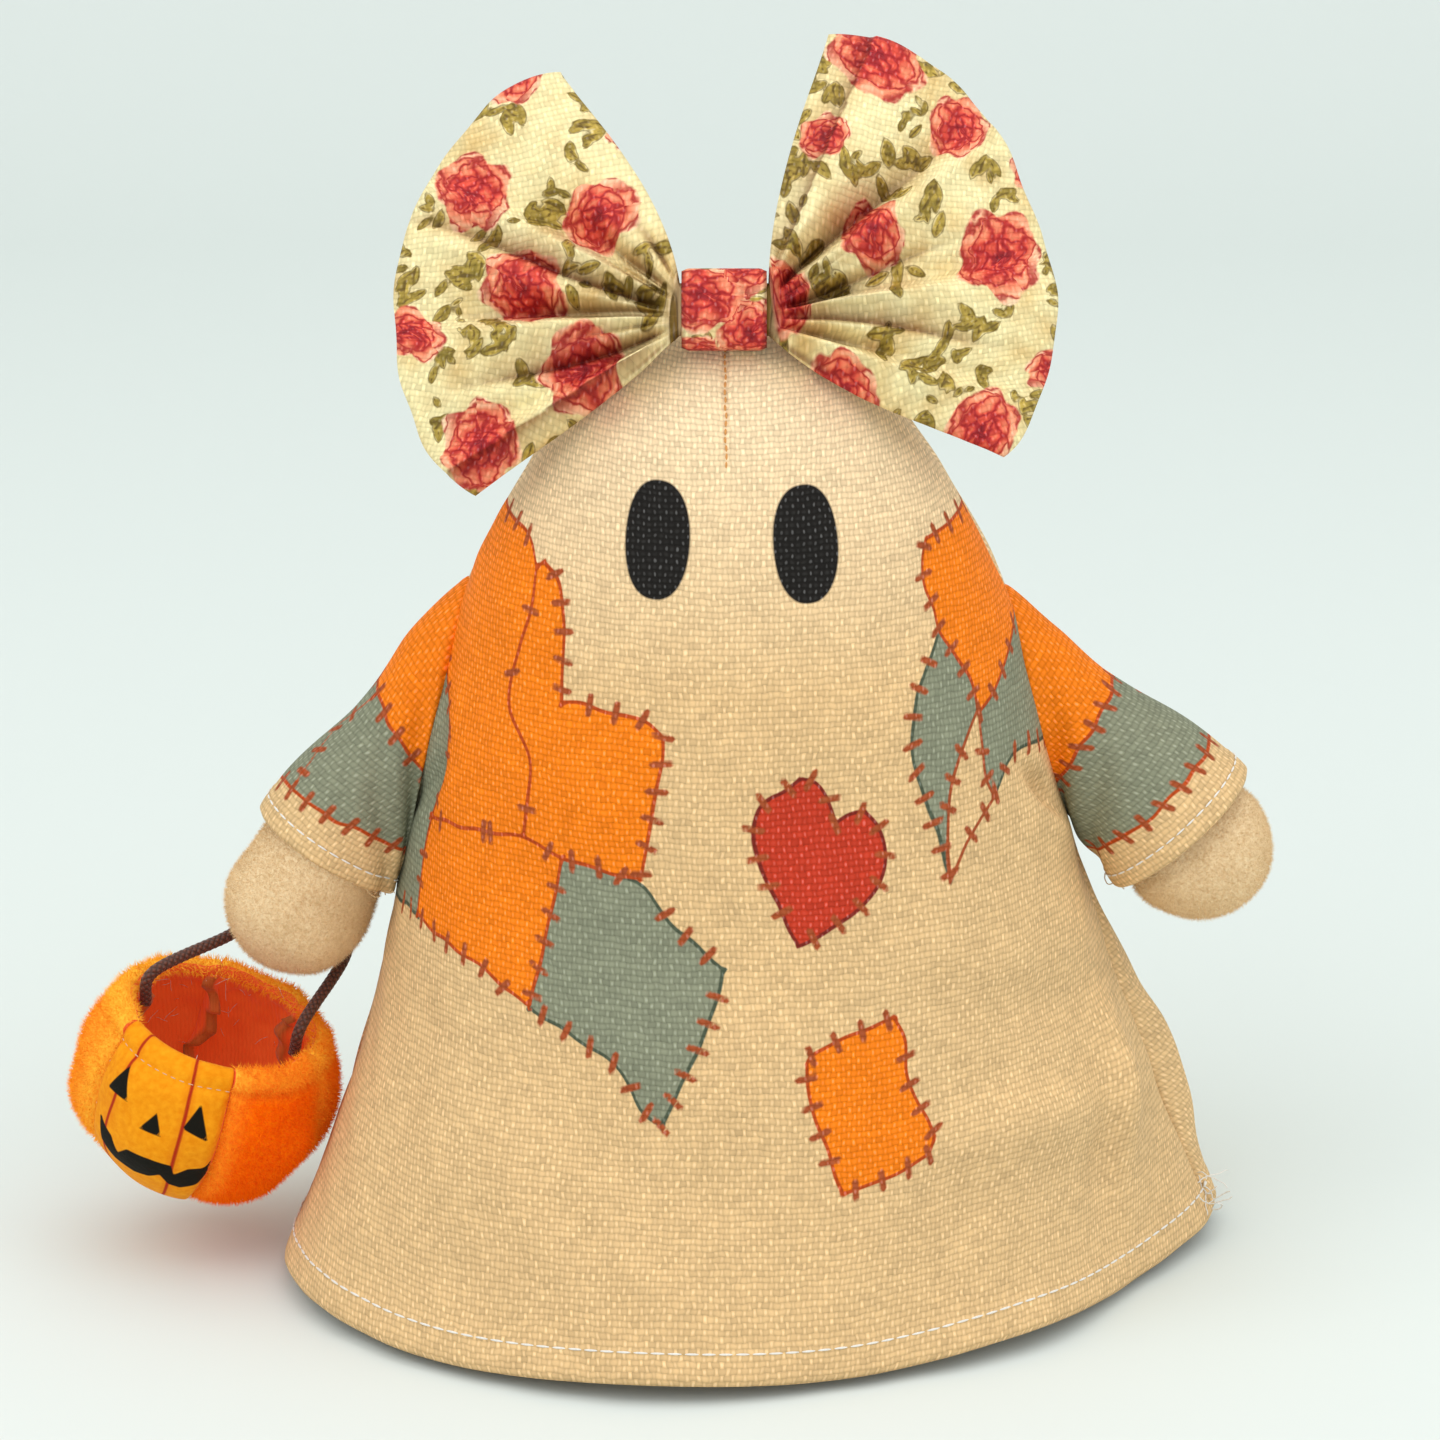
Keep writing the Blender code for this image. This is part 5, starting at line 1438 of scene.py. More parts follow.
def body_grid():
    """The stuffed body as rings from the middle of its pocket, round its foot and up to the crown."""
    columns = 97
    angles = np.linspace(-math.pi, math.pi, columns)
    floor, pocket, pocket_top = 2.7, 40.3, 18.3
    rounds = [(0.0, pocket_top), (20.0, pocket_top), (pocket - 1, pocket_top), (pocket, pocket_top - 1)]
    rounds += [(pocket, floor + 1), (pocket + 0.8, floor), (52.5, floor)]
    rings = [np.stack([r * np.cos(angles), r * np.sin(angles), 0 * angles + z], -1) for r, z in rounds]
    shares = np.linspace(0, 1, 400)
    first = shares[np.argmax(robe_section(shares)[:, 0] > 46)]
    upper = []
    for share in np.linspace(first, 1, 44):
        level = np.full(columns, share)
        ring = robe_point(angles, level)
        step = 1e-3
        across = robe_point(angles + step, level) - robe_point(angles - step, level)
        rise = robe_point(angles, np.minimum(1, level + step)) - robe_point(angles, level - step)
        normal = unit(np.cross(across, rise)) if share < 0.999 else np.array((0, 0, 1.0))
        upper.append(ring - normal * 3.6)
    foot = np.stack([54 * np.cos(angles), 54 * np.sin(angles), 0 * angles + floor + 1.5], -1)
    for share in np.linspace(0, 1, 14)[:-1]:
        ring = mix(foot, upper[0], share)
        belly = 1 + 4 / 54 * math.sin(math.pi * share)
        rings.append(ring * (belly, belly, 1))
    return np.stack(rings + upper)


def turned_grid(profile, columns=73):
    angles = np.linspace(-math.pi, math.pi, columns)
    return np.stack([np.stack([r * np.cos(angles), r * np.sin(angles), 0 * angles + z], -1) for r, z in profile])


def pellet_bag_grid():
    floor, half = 3.0, 7.2
    profile = [(0.0, floor)]
    for angle in np.radians(np.linspace(-90, 90, 25)):
        profile.append((40 - half + half * math.cos(angle), floor + half + half * math.sin(angle)))
    profile.append((0.0, floor + 2 * half))
    return turned_grid(profile)


# Printed roses of the bow: places on its cloth, across and up, with the size of each
ROSES = [
    (-43, 22, 8.0), (-35, 3, 7.2), (-21, 14, 6.4), (-23, -10, 7.4), (-38, -26, 8.2), (-55, -6, 6.4),
    (-31, 44, 6.2), (-13, -19, 4.2), (-50, 43, 4.4), (-14, 28, 3.8),
    (20, 45, 8.6), (38, 34, 6.4), (49, 9, 8.8), (25, 13, 6.2), (40, -25, 7.4), (14, 28, 4.4),
    (19, -11, 6.0), (55, 27, 5.0), (31, 59, 5.0), (57, -15, 5.0), (11, 2, 4.0),
]
KNOT_ROSES = [
    (-4.0, 2.0, 7.4), (5.0, -5.0, 6.6), (4.6, 8.4, 6.4), (-5.0, -11.0, 6.4), (0.0, 19.0, 6.6), (1.0, -20.0, 6.6),
]
LEAF_HALF_LENGTH = 2.6
LEAF_HALF_WIDTH = 1.1


def leaf_ring(x, y, angle, size):
    """A pointed oval leaf."""
    t = np.linspace(-1, 1, 9)
    side = LEAF_HALF_WIDTH * size * (1 - t**2) ** 0.8
    ring = np.concatenate([np.stack([t * LEAF_HALF_LENGTH * size, side], -1),
                           np.stack([t[::-1] * LEAF_HALF_LENGTH * size, -side[::-1]], -1)[1:-1]])
    c, s = math.cos(angle), math.sin(angle)
    return ring @ np.array(((c, s), (-s, c))) + (x, y)


def floral_print(u, v, roses, rng):
    """Fields for loose roses, each a little longer one way, and for sprays of leaves beside and between them."""
    far = np.full(u.shape, FAR)
    x, y = np.full(u.shape, FAR), np.full(u.shape, FAR)
    sprays = []
    for rx, ry, size in roses:
        turn, long = rng.uniform(0, math.tau), rng.uniform(1.0, 1.3)
        c, s = math.cos(turn), math.sin(turn)
        dx, dy = ((u - rx) * c + (v - ry) * s) / long, (-(u - rx) * s + (v - ry) * c) * long**0.4
        angle = np.arctan2(dy, dx)
        edge = size * (0.84 + 0.14 * np.abs(np.sin(2.5 * angle + 1)) + 0.06 * np.sin(7 * angle + turn))
        distance = np.hypot(dx, dy) - edge
        nearer = distance < far
        x, y = np.where(nearer, dx * 6 / size, x), np.where(nearer, dy * 6 / size, y)
        far = np.minimum(far, distance)
        for _ in range(rng.integers(2, 4)):
            way = rng.uniform(0, math.tau)
            sprays.append((rx + (size + 0.6) * math.cos(way), ry + (size + 0.6) * math.sin(way), way))
    low, high = (u.min(), v.min()), (u.max(), v.max())
    for _ in range(700):
        spot = rng.uniform(low, high)
        clear = all(math.hypot(spot[0] - a, spot[1] - b) > c + 3.2 for a, b, c in roses)
        if clear and all(math.hypot(spot[0] - a, spot[1] - b) > 5.4 for a, b, _ in sprays):
            sprays.append((*spot, rng.uniform(0, math.tau)))
    rings, veins = [], np.full(u.shape, FAR)
    for sx, sy, way in sprays:
        for _ in range(rng.integers(4, 7)):
            lean, reach, size = way + rng.normal(0, 0.9), rng.uniform(0.4, 4.4), rng.uniform(0.45, 1.0)
            lx, ly = sx + reach * math.cos(lean), sy + reach * math.sin(lean)
            lean += rng.normal(0, 0.35)
            rings.append(leaf_ring(lx, ly, lean, size))
            c, s = math.cos(lean), math.sin(lean)
            along, beside = (u - lx) * c + (v - ly) * s, -(u - lx) * s + (v - ly) * c
            half = LEAF_HALF_LENGTH * size * 0.8
            veins = np.minimum(veins, np.hypot(along - np.clip(along, -half, half), beside) - 0.16)
    leaf_far = np.maximum(patch_field(u, v, rings), -far - 0.4)
    return {"roses": far, "rose_x": x, "rose_y": y, "leaves": leaf_far, "veins": veins}


def bow_creases(side, degrees, out):
    """How far creases that run out from the knot, and an edge folded under, lift or lower a wing's face, and how much
    painted shade they get. Above each crease the cloth slopes in, and below it bulges out."""
    radius = np.maximum(WING_RADIUS * out, 2.5)
    lift, shade = np.zeros_like(out), np.zeros_like(out)
    for angle, end, depth, width in BOW_CREASES[side]:
        bent = degrees - angle - 3 * np.sin(4 * out + angle)
        across = radius * np.radians(bent)
        wide = width * (0.4 + 0.6 * smooth(0, 0.5, out))
        strong = smooth(0.02, 0.12, out) * (1 - smooth(end * 0.45, end, out))
        hollow = np.where(across > 0, np.exp(-across / (3.4 * wide)), np.exp(across / (0.6 * wide)))
        bulge = 0.55 * np.exp(-(((across + 3.2 * wide) / (2.0 * wide)) ** 2))
        lift += depth * strong * (bulge - hollow)
        shade = np.maximum(shade, strong * depth / 3.6 * hollow**1.6)
    start, way = BOW_TURNINGS[side]
    beyond = way * np.radians(degrees - start) * radius
    shown = smooth(0.04, 0.2, out)
    under = np.where(beyond > 0, np.exp(-np.maximum(beyond, 0) / 1.6), 0) * shown
    lift = lift - shown * (BOW_TURN_DEPTH * smooth(0, 0.7, beyond) + 0.15 * np.maximum(beyond, 0))
    return lift, np.maximum(shade, 0.85 * under)


def bow_wings():
    """Both wings, one doubled cloth that passes through the knot."""
    rows, columns = 181, 81
    level = np.linspace(-1, 1, rows)[:, None]
    out = np.linspace(0, 1, columns)[None, :] ** 1.1
    rng = np.random.default_rng(SEED + 60)
    sides = []
    for side in (-1, 1):
        across = np.repeat(level, columns, 1)
        reach = np.repeat(out, rows, 0)
        middle, half = wing_point(side, reach, across)
        low, high, (low_curl, high_curl) = WINGS[side][:3]
        curl = (1 - reach) ** 1.5
        degrees = mix(low + low_curl * curl, high + high_curl * curl, (across + 1) / 2)
        wobble = 1 + (0.008 * np.sin(degrees * 0.16 + side) + 0.003 * np.sin(degrees * 0.41)) * reach**2
        for angle, end, _, _ in BOW_CREASES[side]:
            wobble -= 0.012 * (end > 0.9) * np.exp(-(((degrees - angle) / 6) ** 2)) * reach**3
        anchor = side * (KNOT_WIDTH / 2 + SEAM_GAP)
        middle[..., 0] = anchor + (middle[..., 0] - anchor) * wobble
        middle[..., 2] *= wobble
        run = run_lengths(middle, 1)
        arc = run_lengths(middle, 0)
        ring = int(columns * 0.72)
        turned = arc[:, ring] / run[rows // 2, ring]
        turned = turned - turned[rows // 2] + math.radians((low + high) / 2)
        u = side * (KNOT_WIDTH / 2 + run * np.cos(turned)[:, None])
        v = run * np.sin(turned)[:, None]
        fine = np.sin(across * 23 + 1.3 * np.sin(across * 5 + side)) + 0.6 * np.sin(across * 37 + 2)
        gathered = smooth(0.02, 0.12, reach) * (1 - smooth(0.12, 0.45, reach))
        crease = 0.6 * fine * gathered
        cloth = np.stack([u, v], -1)
        soft = 0.3 * ripples(cloth, 16, rng) * smooth(0.2, 0.5, reach) + 0.12 * ripples(cloth, 6, rng)
        rim = np.minimum((1 - reach) * WING_RADIUS, (1 - np.abs(across)) * arc[-1:, :] / 2)
        half = half * edge_round(rim, 2.6) / 2.6
        bent, shade = bow_creases(side, degrees, reach)
        # Painted shade also in the fine gathers, and where the wings go into the knot
        shade = np.maximum(shade, 0.5 * np.maximum(0, -fine) * gathered)
        shade = np.maximum(shade, 0.75 * (1 - smooth(0.01, 0.09, reach)))
        lift = crease + soft + bent
        front = middle + np.stack([0 * lift, lift + half, 0 * lift], -1)
        back = middle + np.stack([0 * lift, lift - half, 0 * lift], -1)
        sides.append((front, back, u, v, shade))
    (front_l, back_l, u_l, v_l, shade_l), (front_r, back_r, u_r, v_r, shade_r) = sides

    def join(left, right):
        return np.concatenate([left[:, ::-1], right], axis=1)

    outer, inner = in_bow(join(front_l, front_r)), in_bow(join(back_l, back_r))
    u, v = join(u_l, u_r), join(v_l, v_r)
    fields = floral_print(u, v, ROSES, rng)
    fields["hollows"] = join(shade_l, shade_r)
    made = material("rose_print_burlap", floral_burlap, settings())
    return cloth_mesh("bow_wings_cloth", outer, inner, [made], u, v, fields)


def bow_knot():
    rows, columns = 33, 121
    x = np.linspace(-KNOT_WIDTH / 2, KNOT_WIDTH / 2, rows)[:, None]
    angle = np.linspace(-math.pi, math.pi, columns)[None, :]
    c, s = np.cos(angle), np.sin(angle)
    rng = np.random.default_rng(SEED + 61)
    edge = KNOT_WIDTH / 2 - np.abs(x)
    face = smooth(0.25, 0.8, c)
    fold = 0.5 * np.sin(x * 1.3 + 0.9 * np.sin(angle * 2)) * smooth(0, 2, edge) * face
    shells = []
    for inset in (0.0, KNOT_CLOTH):
        lift = (fold if not inset else 0.35 * fold) - inset
        tuck = -0.45 * (1 - smooth(0, 1.6, edge)) ** 2 if not inset else 0.3 * (1 - smooth(0, 1.2, edge))
        high = np.sign(s) * np.abs(s) ** 0.62 * (KNOT_HEIGHT / 2 + lift + tuck)
        forward = np.sign(c) * np.abs(c) ** 0.75 * (KNOT_DEPTH / 2 + lift + tuck)
        shells.append(in_bow(np.stack([np.broadcast_to(x, high.shape), forward, high], -1)))
    run = run_lengths(shells[0], 1)
    u, v = np.repeat(x, columns, 1), run - run[:, columns // 2][:, None]
    fields = floral_print(u, v, KNOT_ROSES, rng)
    # Painted shade on the band's edges, in its folds and on its back half
    behind = 0.5 * (1 - smooth(-0.1, 0.4, c))
    fields["hollows"] = 0.9 * (1 - smooth(0, 1.0, edge)) + 0.6 * np.maximum(0, -fold) + behind
    made = material("rose_print_burlap", floral_burlap, settings())
    return cloth_mesh("bow_knot_band", *shells, [made], u, v, fields, closed=True)


# The basket's printed face, on its panel: millimetres across from its middle and up from its bottom
FACE_FEATURES = [
    [(-7.4, 43.8), (-4.5, 37.9), (-10.3, 37.6)],
    [(9.2, 42.9), (12.4, 35.9), (7.0, 37.5)],
    [(1.7, 38.8), (3.7, 34.5), (-0.7, 34.5)],
    [(-11.1, 31.6), (-8.6, 30.2), (-6.1, 29.4), (-4.2, 26.6), (-2.0, 29.0), (2.6, 29.2), (7.0, 28.9), (7.9, 26.6),
     (10.2, 28.6), (12.9, 29.2), (15.0, 31.2), (14.9, 27.2), (13.2, 24.2), (9.9, 22.8), (7.3, 23.2), (5.2, 25.6),
     (3.0, 23.8), (-0.5, 22.9), (-5.4, 23.8), (-9.2, 26.6)],
]
FACE_RIBS = [
    [(-7.9, 50.7), (-7.7, 46.0), (-7.7, 37.1), (-8.3, 31.1), (-8.2, 20.0), (-6.0, 10.0)],
    [(5.5, 50.7), (6.2, 47.0), (6.9, 39.9), (7.1, 32.0), (7.0, 20.0), (5.4, 10.0)],
]


def gore_grid(first, width, wall, steps, columns):
    """A basket panel from seam to seam: its outer and inner grids, and places across and up it."""
    outer, inner = wall_outline(wall, steps)
    share = np.linspace(0, 1, columns)[None, :]
    angle = first + width * share
    run = np.concatenate([[0], np.cumsum(np.linalg.norm(np.diff(outer, axis=0), axis=1))])
    top = run[-1] - run
    groove = GORE_GROOVE * (1 - np.sin(math.pi * share) ** 0.7)
    grids = []
    for line, sign in ((outer, -1), (inner, 1)):
        radius, height = line[:, :1], line[:, 1:]
        fade = smooth(0, 8, radius) * (1 - smooth(6, 16, height))
        r = radius * (1 - groove * fade)
        shift = SEAM_GAP * (0.5 - share) if sign < 0 else 0.0
        x = r * np.cos(angle) - np.sin(angle) * shift
        y = r * np.sin(angle) + np.cos(angle) * shift
        grids.append(np.stack([x, y, np.broadcast_to(height, x.shape)], -1))
    u = (angle - first - width / 2) * PUMPKIN_RADIUS + 0 * run[:, None]
    v = np.repeat(run[:, None], columns, 1)
    across = PUMPKIN_RADIUS * width * np.minimum(share, 1 - share)
    return grids[0], grids[1], u, v, top[:, None] + 0 * across, across + 0 * top[:, None]


def wrong_side():
    return material("plush_wrong_side", knit_back, linear("#FF7A34"), linear("#DC4E14"))


def basket_panel(name, first, width, wall, columns, made, prints=False, nap=0.0):
    outer, inner, u, v, from_rim, from_seam = gore_grid(first, width, wall, 64, columns)
    rng = np.random.default_rng(SEED + 500 + round(math.degrees(first)))
    inward = unit(inner - outer)
    full = np.linalg.norm(inner - outer, axis=-1)
    seam = 1 - smooth(0, 1.8, from_seam)
    below = smooth(CUFF_DROP * 0.8, CUFF_DROP * 1.6, from_rim)
    lumps = (0.3 if prints else 0.55) * ripples(outer, 14, rng) * (1 - seam) * below
    sewn = (0.45 if prints else 0.9) * np.exp(-(((from_rim - CUFF_DROP) / 0.8) ** 2))
    cuff = (0.25 if prints else 0.7) * np.exp(-(((from_rim - CUFF_DROP / 2) / 2.0) ** 2))
    wave = RIM_WAVE * ripples(outer, 11, rng) * (1 - smooth(0, 9, from_rim)) * smooth(0, 5, from_seam)
    depth = 0.95 * seam**2 * (0.25 + 0.75 * below) + sewn - cuff - lumps
    rounded = full - full * edge_round(from_rim, CUFF_WIDTH) / CUFF_WIDTH
    outer = outer + inward * (depth + rounded / 2)[..., None]
    inner = inner - inward * (rounded / 2)[..., None]
    wrinkle = 0.35 * ripples(inner, 5, rng) * smooth(2, 6, from_rim) * (1 - seam)
    inner = inner + inward * (wrinkle - 0.5 * seam * (1 - smooth(0, 1, from_seam)))[..., None]
    for face in (outer, inner):
        face[..., 2] += wave * (0.35 if prints else 1.0)
    outer, inner = in_basket(outer), in_basket(inner)
    # Painted highlight: the panel's share, more along its seams and below its rim, which the plush material turns
    # into paler colour
    shown = nap + 0.3 * (1 - smooth(0, 6, from_seam)) + 0.38 * (1 - smooth(3.5, 7, from_rim))
    fields = {"nap": shown}
    if prints:
        features = patch_field(u, v, [np.array(ring, float) for ring in FACE_FEATURES])
        fields = {"features": features, "ribs": rib_field(u, v)}
    piece = cloth_mesh(name, outer, inner, [made, wrong_side()], u, v, fields)
    return piece, outer, inner, from_rim, shown


def seam_edges(made):
    """The raw edges of the basket's seams inside it: a ruffled strip along each seam, cut by hand."""
    rng = np.random.default_rng(SEED + 80)
    _, wall = wall_outline(PLUSH_WALL, 160)
    wall = wall[30:145]
    first = FACE_MIDDLE + FACE_WIDTH / 2
    across = np.linspace(0, 1, 8)[None, :]
    every_point, every_face, raw = [], [], []
    for k in range(PLUSH_GORES + 1):
        angle = first + k * GORE_SPAN
        level = wall[:, 1:] + 0 * across
        wide = SEAM_EDGE_WIDTH * (1 + 0.28 * ripples(wall, 5, rng, 8))[:, None]
        wide = wide * (1 - smooth(8, 13, level[:, :1]) * 0.6)
        fade = smooth(0, 8, wall[:, :1]) * (1 - smooth(6, 16, wall[:, 1:]))
        radius = wall[:, :1] * (1 - GORE_GROOVE * fade) + 0.5 - across * wide
        waves = [size * np.sin(level * rate + rng.uniform(0, 6)) for size, rate in ((1.5, 0.36), (0.5, 0.9))]
        ruffle = across * sum(waves)
        faces = []
        for side in (0.5, -0.5):
            tangent = ruffle + side * SEAM_EDGE_CLOTH
            faces.append(np.stack([
                radius * math.cos(angle) - tangent * math.sin(angle),
                radius * math.sin(angle) + tangent * math.cos(angle), level], -1))
        points, shell, picks = cloth_shell(*faces, 1)
        raw.append((0.8 * smooth(0.55, 1.0, across) + 0 * level).ravel()[picks])
        every_face += [[index + sum(map(len, every_point)) for index in face] for face in shell]
        every_point.append(in_basket(points))
    fields = {"raw_edge": np.concatenate(raw)}
    return mesh_piece("basket_seam_edges", np.concatenate(every_point), every_face, [made], fields=fields)


def basket_lint(made):
    """Fine loose fibres that cling to the inside of the basket."""
    rng = np.random.default_rng(SEED + 81)
    _, wall = wall_outline(PLUSH_WALL, 64)
    lines = []
    for _ in range(LINT_COUNT):
        radius, level = wall[rng.integers(26, 60)]
        seam = FACE_MIDDLE + FACE_WIDTH / 2 + GORE_SPAN * rng.integers(0, PLUSH_GORES + 1)
        angle = seam + rng.normal(0, 0.2) if rng.random() < 0.7 else rng.uniform(0, math.tau)
        out = np.array((math.cos(angle), math.sin(angle), 0))
        way = np.array((-out[1], out[0], 0)) * rng.normal() + np.array((0, 0, 1.0)) * rng.normal() - out * 0.5
        start = out * (radius - 0.7) + (0, 0, level)
        line = loose_thread(rng, start, way / np.linalg.norm(way), rng.uniform(1.2, 4.0), 0.4, 6)
        reach = np.hypot(line[:, 0], line[:, 1])
        line[:, :2] *= np.minimum(1, (radius - 0.4) / reach)[:, None]
        lines.append(in_basket(line))
    return thread_tubes("basket_lint", lines, 0.045, made, 4)


def rib_field(u, v):
    return polyline_far(u, v, [spline(guided(line), np.linspace(0, 1, 40)) for line in FACE_RIBS]) - 0.36


def handle_tube():
    """The braided cord: its tube, and the middle line that it follows."""
    fine = spline(handle_route(), np.linspace(0, 1, 1200))
    run = np.concatenate([[0], np.cumsum(np.linalg.norm(np.diff(fine, axis=0), axis=1))])
    rows, sides = int(run[-1] / 0.2), 26
    places = np.linspace(0, run[-1], rows)
    line = np.stack([np.interp(places, run, fine[:, k]) for k in range(3)], -1)
    ahead = unit(np.gradient(line, axis=0))
    side = [unit(np.cross(ahead[0], (0, 1.0, 0)))]
    for way in ahead[1:]:
        side.append(unit(side[-1] - way * (side[-1] @ way)))
    side = np.stack(side)
    other = np.cross(ahead, side)
    angle = np.linspace(0, math.tau, sides)
    across, along = angle[None, :] / math.tau * CORD_STRANDS, places[:, None] / BRAID_PITCH
    braided = np.abs(np.sin(math.pi * (across + along)) * np.sin(math.pi * (across - along)))
    radius = CORD_DIAMETER / 2 * (0.93 + 0.09 * braided)
    grid = line[:, None] + radius[..., None] * (
        side[:, None] * np.cos(angle)[None, :, None] + other[:, None] * np.sin(angle)[None, :, None])
    ends = [np.repeat(grid[k][None].mean(axis=1, keepdims=True), sides, 1) for k in (0, rows - 1)]
    grid = np.concatenate([ends[0], grid, ends[1]])
    u = np.repeat(angle[None, :] * CORD_DIAMETER / 2, rows + 2, 0)
    v = np.repeat(np.concatenate([[0], places, [run[-1]]])[:, None], sides, 1)
    made = material("braided_cord", braid, tuple(settings().cord_colour))
    piece = mesh_piece("basket_cord", grid, grid_faces(rows + 2, sides), [made], uv=np.stack([u, v], -1))
    return piece, line, run[-1]


# The add-on: settings, one operator for each group of pieces, and a panel that lists them

def colour_setting(name, code, description):
    return FloatVectorProperty(
        name=name, description=description, subtype="COLOR", size=4, min=0, max=1, default=linear(code))


def length_setting(name, value, description):
    return FloatProperty(name=name, description=description, default=value * MM, subtype="DISTANCE", unit="LENGTH")


class PlushGhostSettings(bpy.types.PropertyGroup):
    """Sizes and colours of the plush ghost's cloths, threads and pile"""

    burlap: colour_setting("Burlap", "#D9B582", "Ground colour of the robe")
    orange_ink: colour_setting("Orange ink", "#EE7A04", "Printed orange patches")
    sage_ink: colour_setting("Sage ink", "#83866F", "Printed grey-green patches")
    heart_ink: colour_setting("Heart ink", "#BC351C", "Printed heart")
    eye_ink: colour_setting("Eye ink", "#171411", "Printed eyes")
    stitch_ink: colour_setting("Stitch ink", "#A04A24", "Printed stitches and outlines")
    rust_line_ink: colour_setting("Rust outline ink", "#B4440F", "Outlines of the orange patches and on the sleeves")
    sage_line_ink: colour_setting("Sage outline ink", "#4B5442", "Outlines of the grey-green patches")
    heart_line_ink: colour_setting("Heart outline ink", "#7A2318", "Outline of the heart")
    bow_ground: colour_setting("Bow ground", "#E9D9A0", "Ground colour of the bow's cloth")
    hand_plush: colour_setting("Hand plush", "#F8DEB4", "Pile of the hands")
    pumpkin_plush: colour_setting("Pumpkin plush", "#FF7C08", "Pile of the basket")
    pumpkin_face: colour_setting("Pumpkin face", "#F29808", "Ground of the basket's printed face")
    cord_colour: colour_setting("Cord", "#5A2E1E", "Braided cord of the basket")
    seam_thread: colour_setting("Hem thread", "#F6F2EA", "White thread of the hems")
    dart_thread: colour_setting("Dart thread", "#DD9A50", "Thread of the dart on the head")
    warp_pitch: length_setting("Warp pitch", 0.96, "From one upright thread of the burlap to the next")
    weft_pitch: length_setting("Weft pitch", 1.08, "From one level thread of the burlap to the next")
    hem_stitch: length_setting("Hem stitch", 2.9, "From one stitch of the hem to the next")
    pile_length: length_setting("Pile length", 1.45, "Length of the basket's pile")
    hand_pile_length: length_setting("Hand pile length", 0.95, "Length of the hands' pile")
    pile_density: IntProperty(name="Pile density", description="Fibres to the square centimetre", default=620, min=0)
    floor_colour: colour_setting("Floor", "#DFE6E3", "Pale floor and backdrop")


def cloth_piece(piece, slot, nodes):
    dress(piece, slot, *nodes)
    return piece


class BuildCamera(bpy.types.Operator):
    """Place the camera where the ghost is seen from a little above its front"""

    bl_idname = "plush_ghost.camera"
    bl_options = {"REGISTER", "UNDO"}
    bl_label = "Camera"

    def execute(self, context):
        data = bpy.data.cameras.new("camera")
        data.lens, data.sensor_width = CAMERA_LENS, CAMERA_SENSOR
        camera = bpy.data.objects.new("camera", data)
        way = Vector((0, -math.cos(CAMERA_RISE), math.sin(CAMERA_RISE)))
        camera.location = CAMERA_TARGET + CAMERA_DISTANCE * way
        camera.rotation_euler = (math.pi / 2 - CAMERA_RISE, 0, 0)
        bpy.context.scene.collection.objects.link(camera)
        bpy.context.scene.camera = camera
        return {"FINISHED"}


class BuildHandle(bpy.types.Operator):
    """Make the basket's braided cord"""

    bl_idname = "plush_ghost.handle"
    bl_options = {"REGISTER", "UNDO"}
    bl_label = "Basket cord"

    def execute(self, context):
        piece, line, length = handle_tube()
        dress(piece, "brown_cord", "basket_handle")
        return {"FINISHED"}


class BuildRobe(bpy.types.Operator):
    """Make the robe's two panels with their prints, hem, side seams and threads"""

    bl_idname = "plush_ghost.robe"
    bl_options = {"REGISTER", "UNDO"}
    bl_label = "Robe"

    def execute(self, context):
        given = context.scene.plush_ghost
        white = material("white_thread", thread, tuple(given.seam_thread))
        amber = material("amber_thread", thread, tuple(given.dart_thread))
        for side, name, node in ((-1, "front", "robe_front"), (1, "back", "robe_back")):
            panel = robe_panel(side)
            hem = sewn_line(f"hem_thread_{name}", line_on_panel(side, HEM_DEPTH - 1.4, 0.32),
                            given.hem_stitch / MM, 2.5, 0.42, white)
            dress(hem, "burlap")
            cloth_piece(panel, "burlap", [node])
        grid, u, v, normals = panel_grid(-1)
        (top_x, top), _, (low_x, low) = DART
        span = range(np.argmin(np.abs(v[:, 0] - low)), np.argmin(np.abs(v[:, 0] - top)) + 1)
        column = [np.argmin(np.abs(u[k] - np.interp(v[k, 0], [low, top], [low_x, top_x]))) for k in span]
        line = np.array([grid[k, c] - normals[k, c] * 0.15 for k, c in zip(span, column)])
        dress(sewn_line("dart_thread", line, 1.5, 1.2, 0.42, amber), "burlap")
        rng = np.random.default_rng(SEED + 90)
        ends = []
        for _ in range(HEM_LOOSE_ENDS):
            start = robe_point(np.array(rng.uniform(-0.05, 0.0)), np.array(rng.uniform(0.01, 0.065)))
            way = unit(np.array((0.9, -0.8, 0.1)) + rng.normal(0, 0.75, 3))
            end = loose_thread(rng, start, way, rng.uniform(3.0, 7.5), 0.6)
            end[:, 2] = np.maximum(end[:, 2], 0.4)
            ends.append(end)
        dress(thread_tubes("hem_loose_threads", ends, 0.12, white), "burlap")
        return {"FINISHED"}


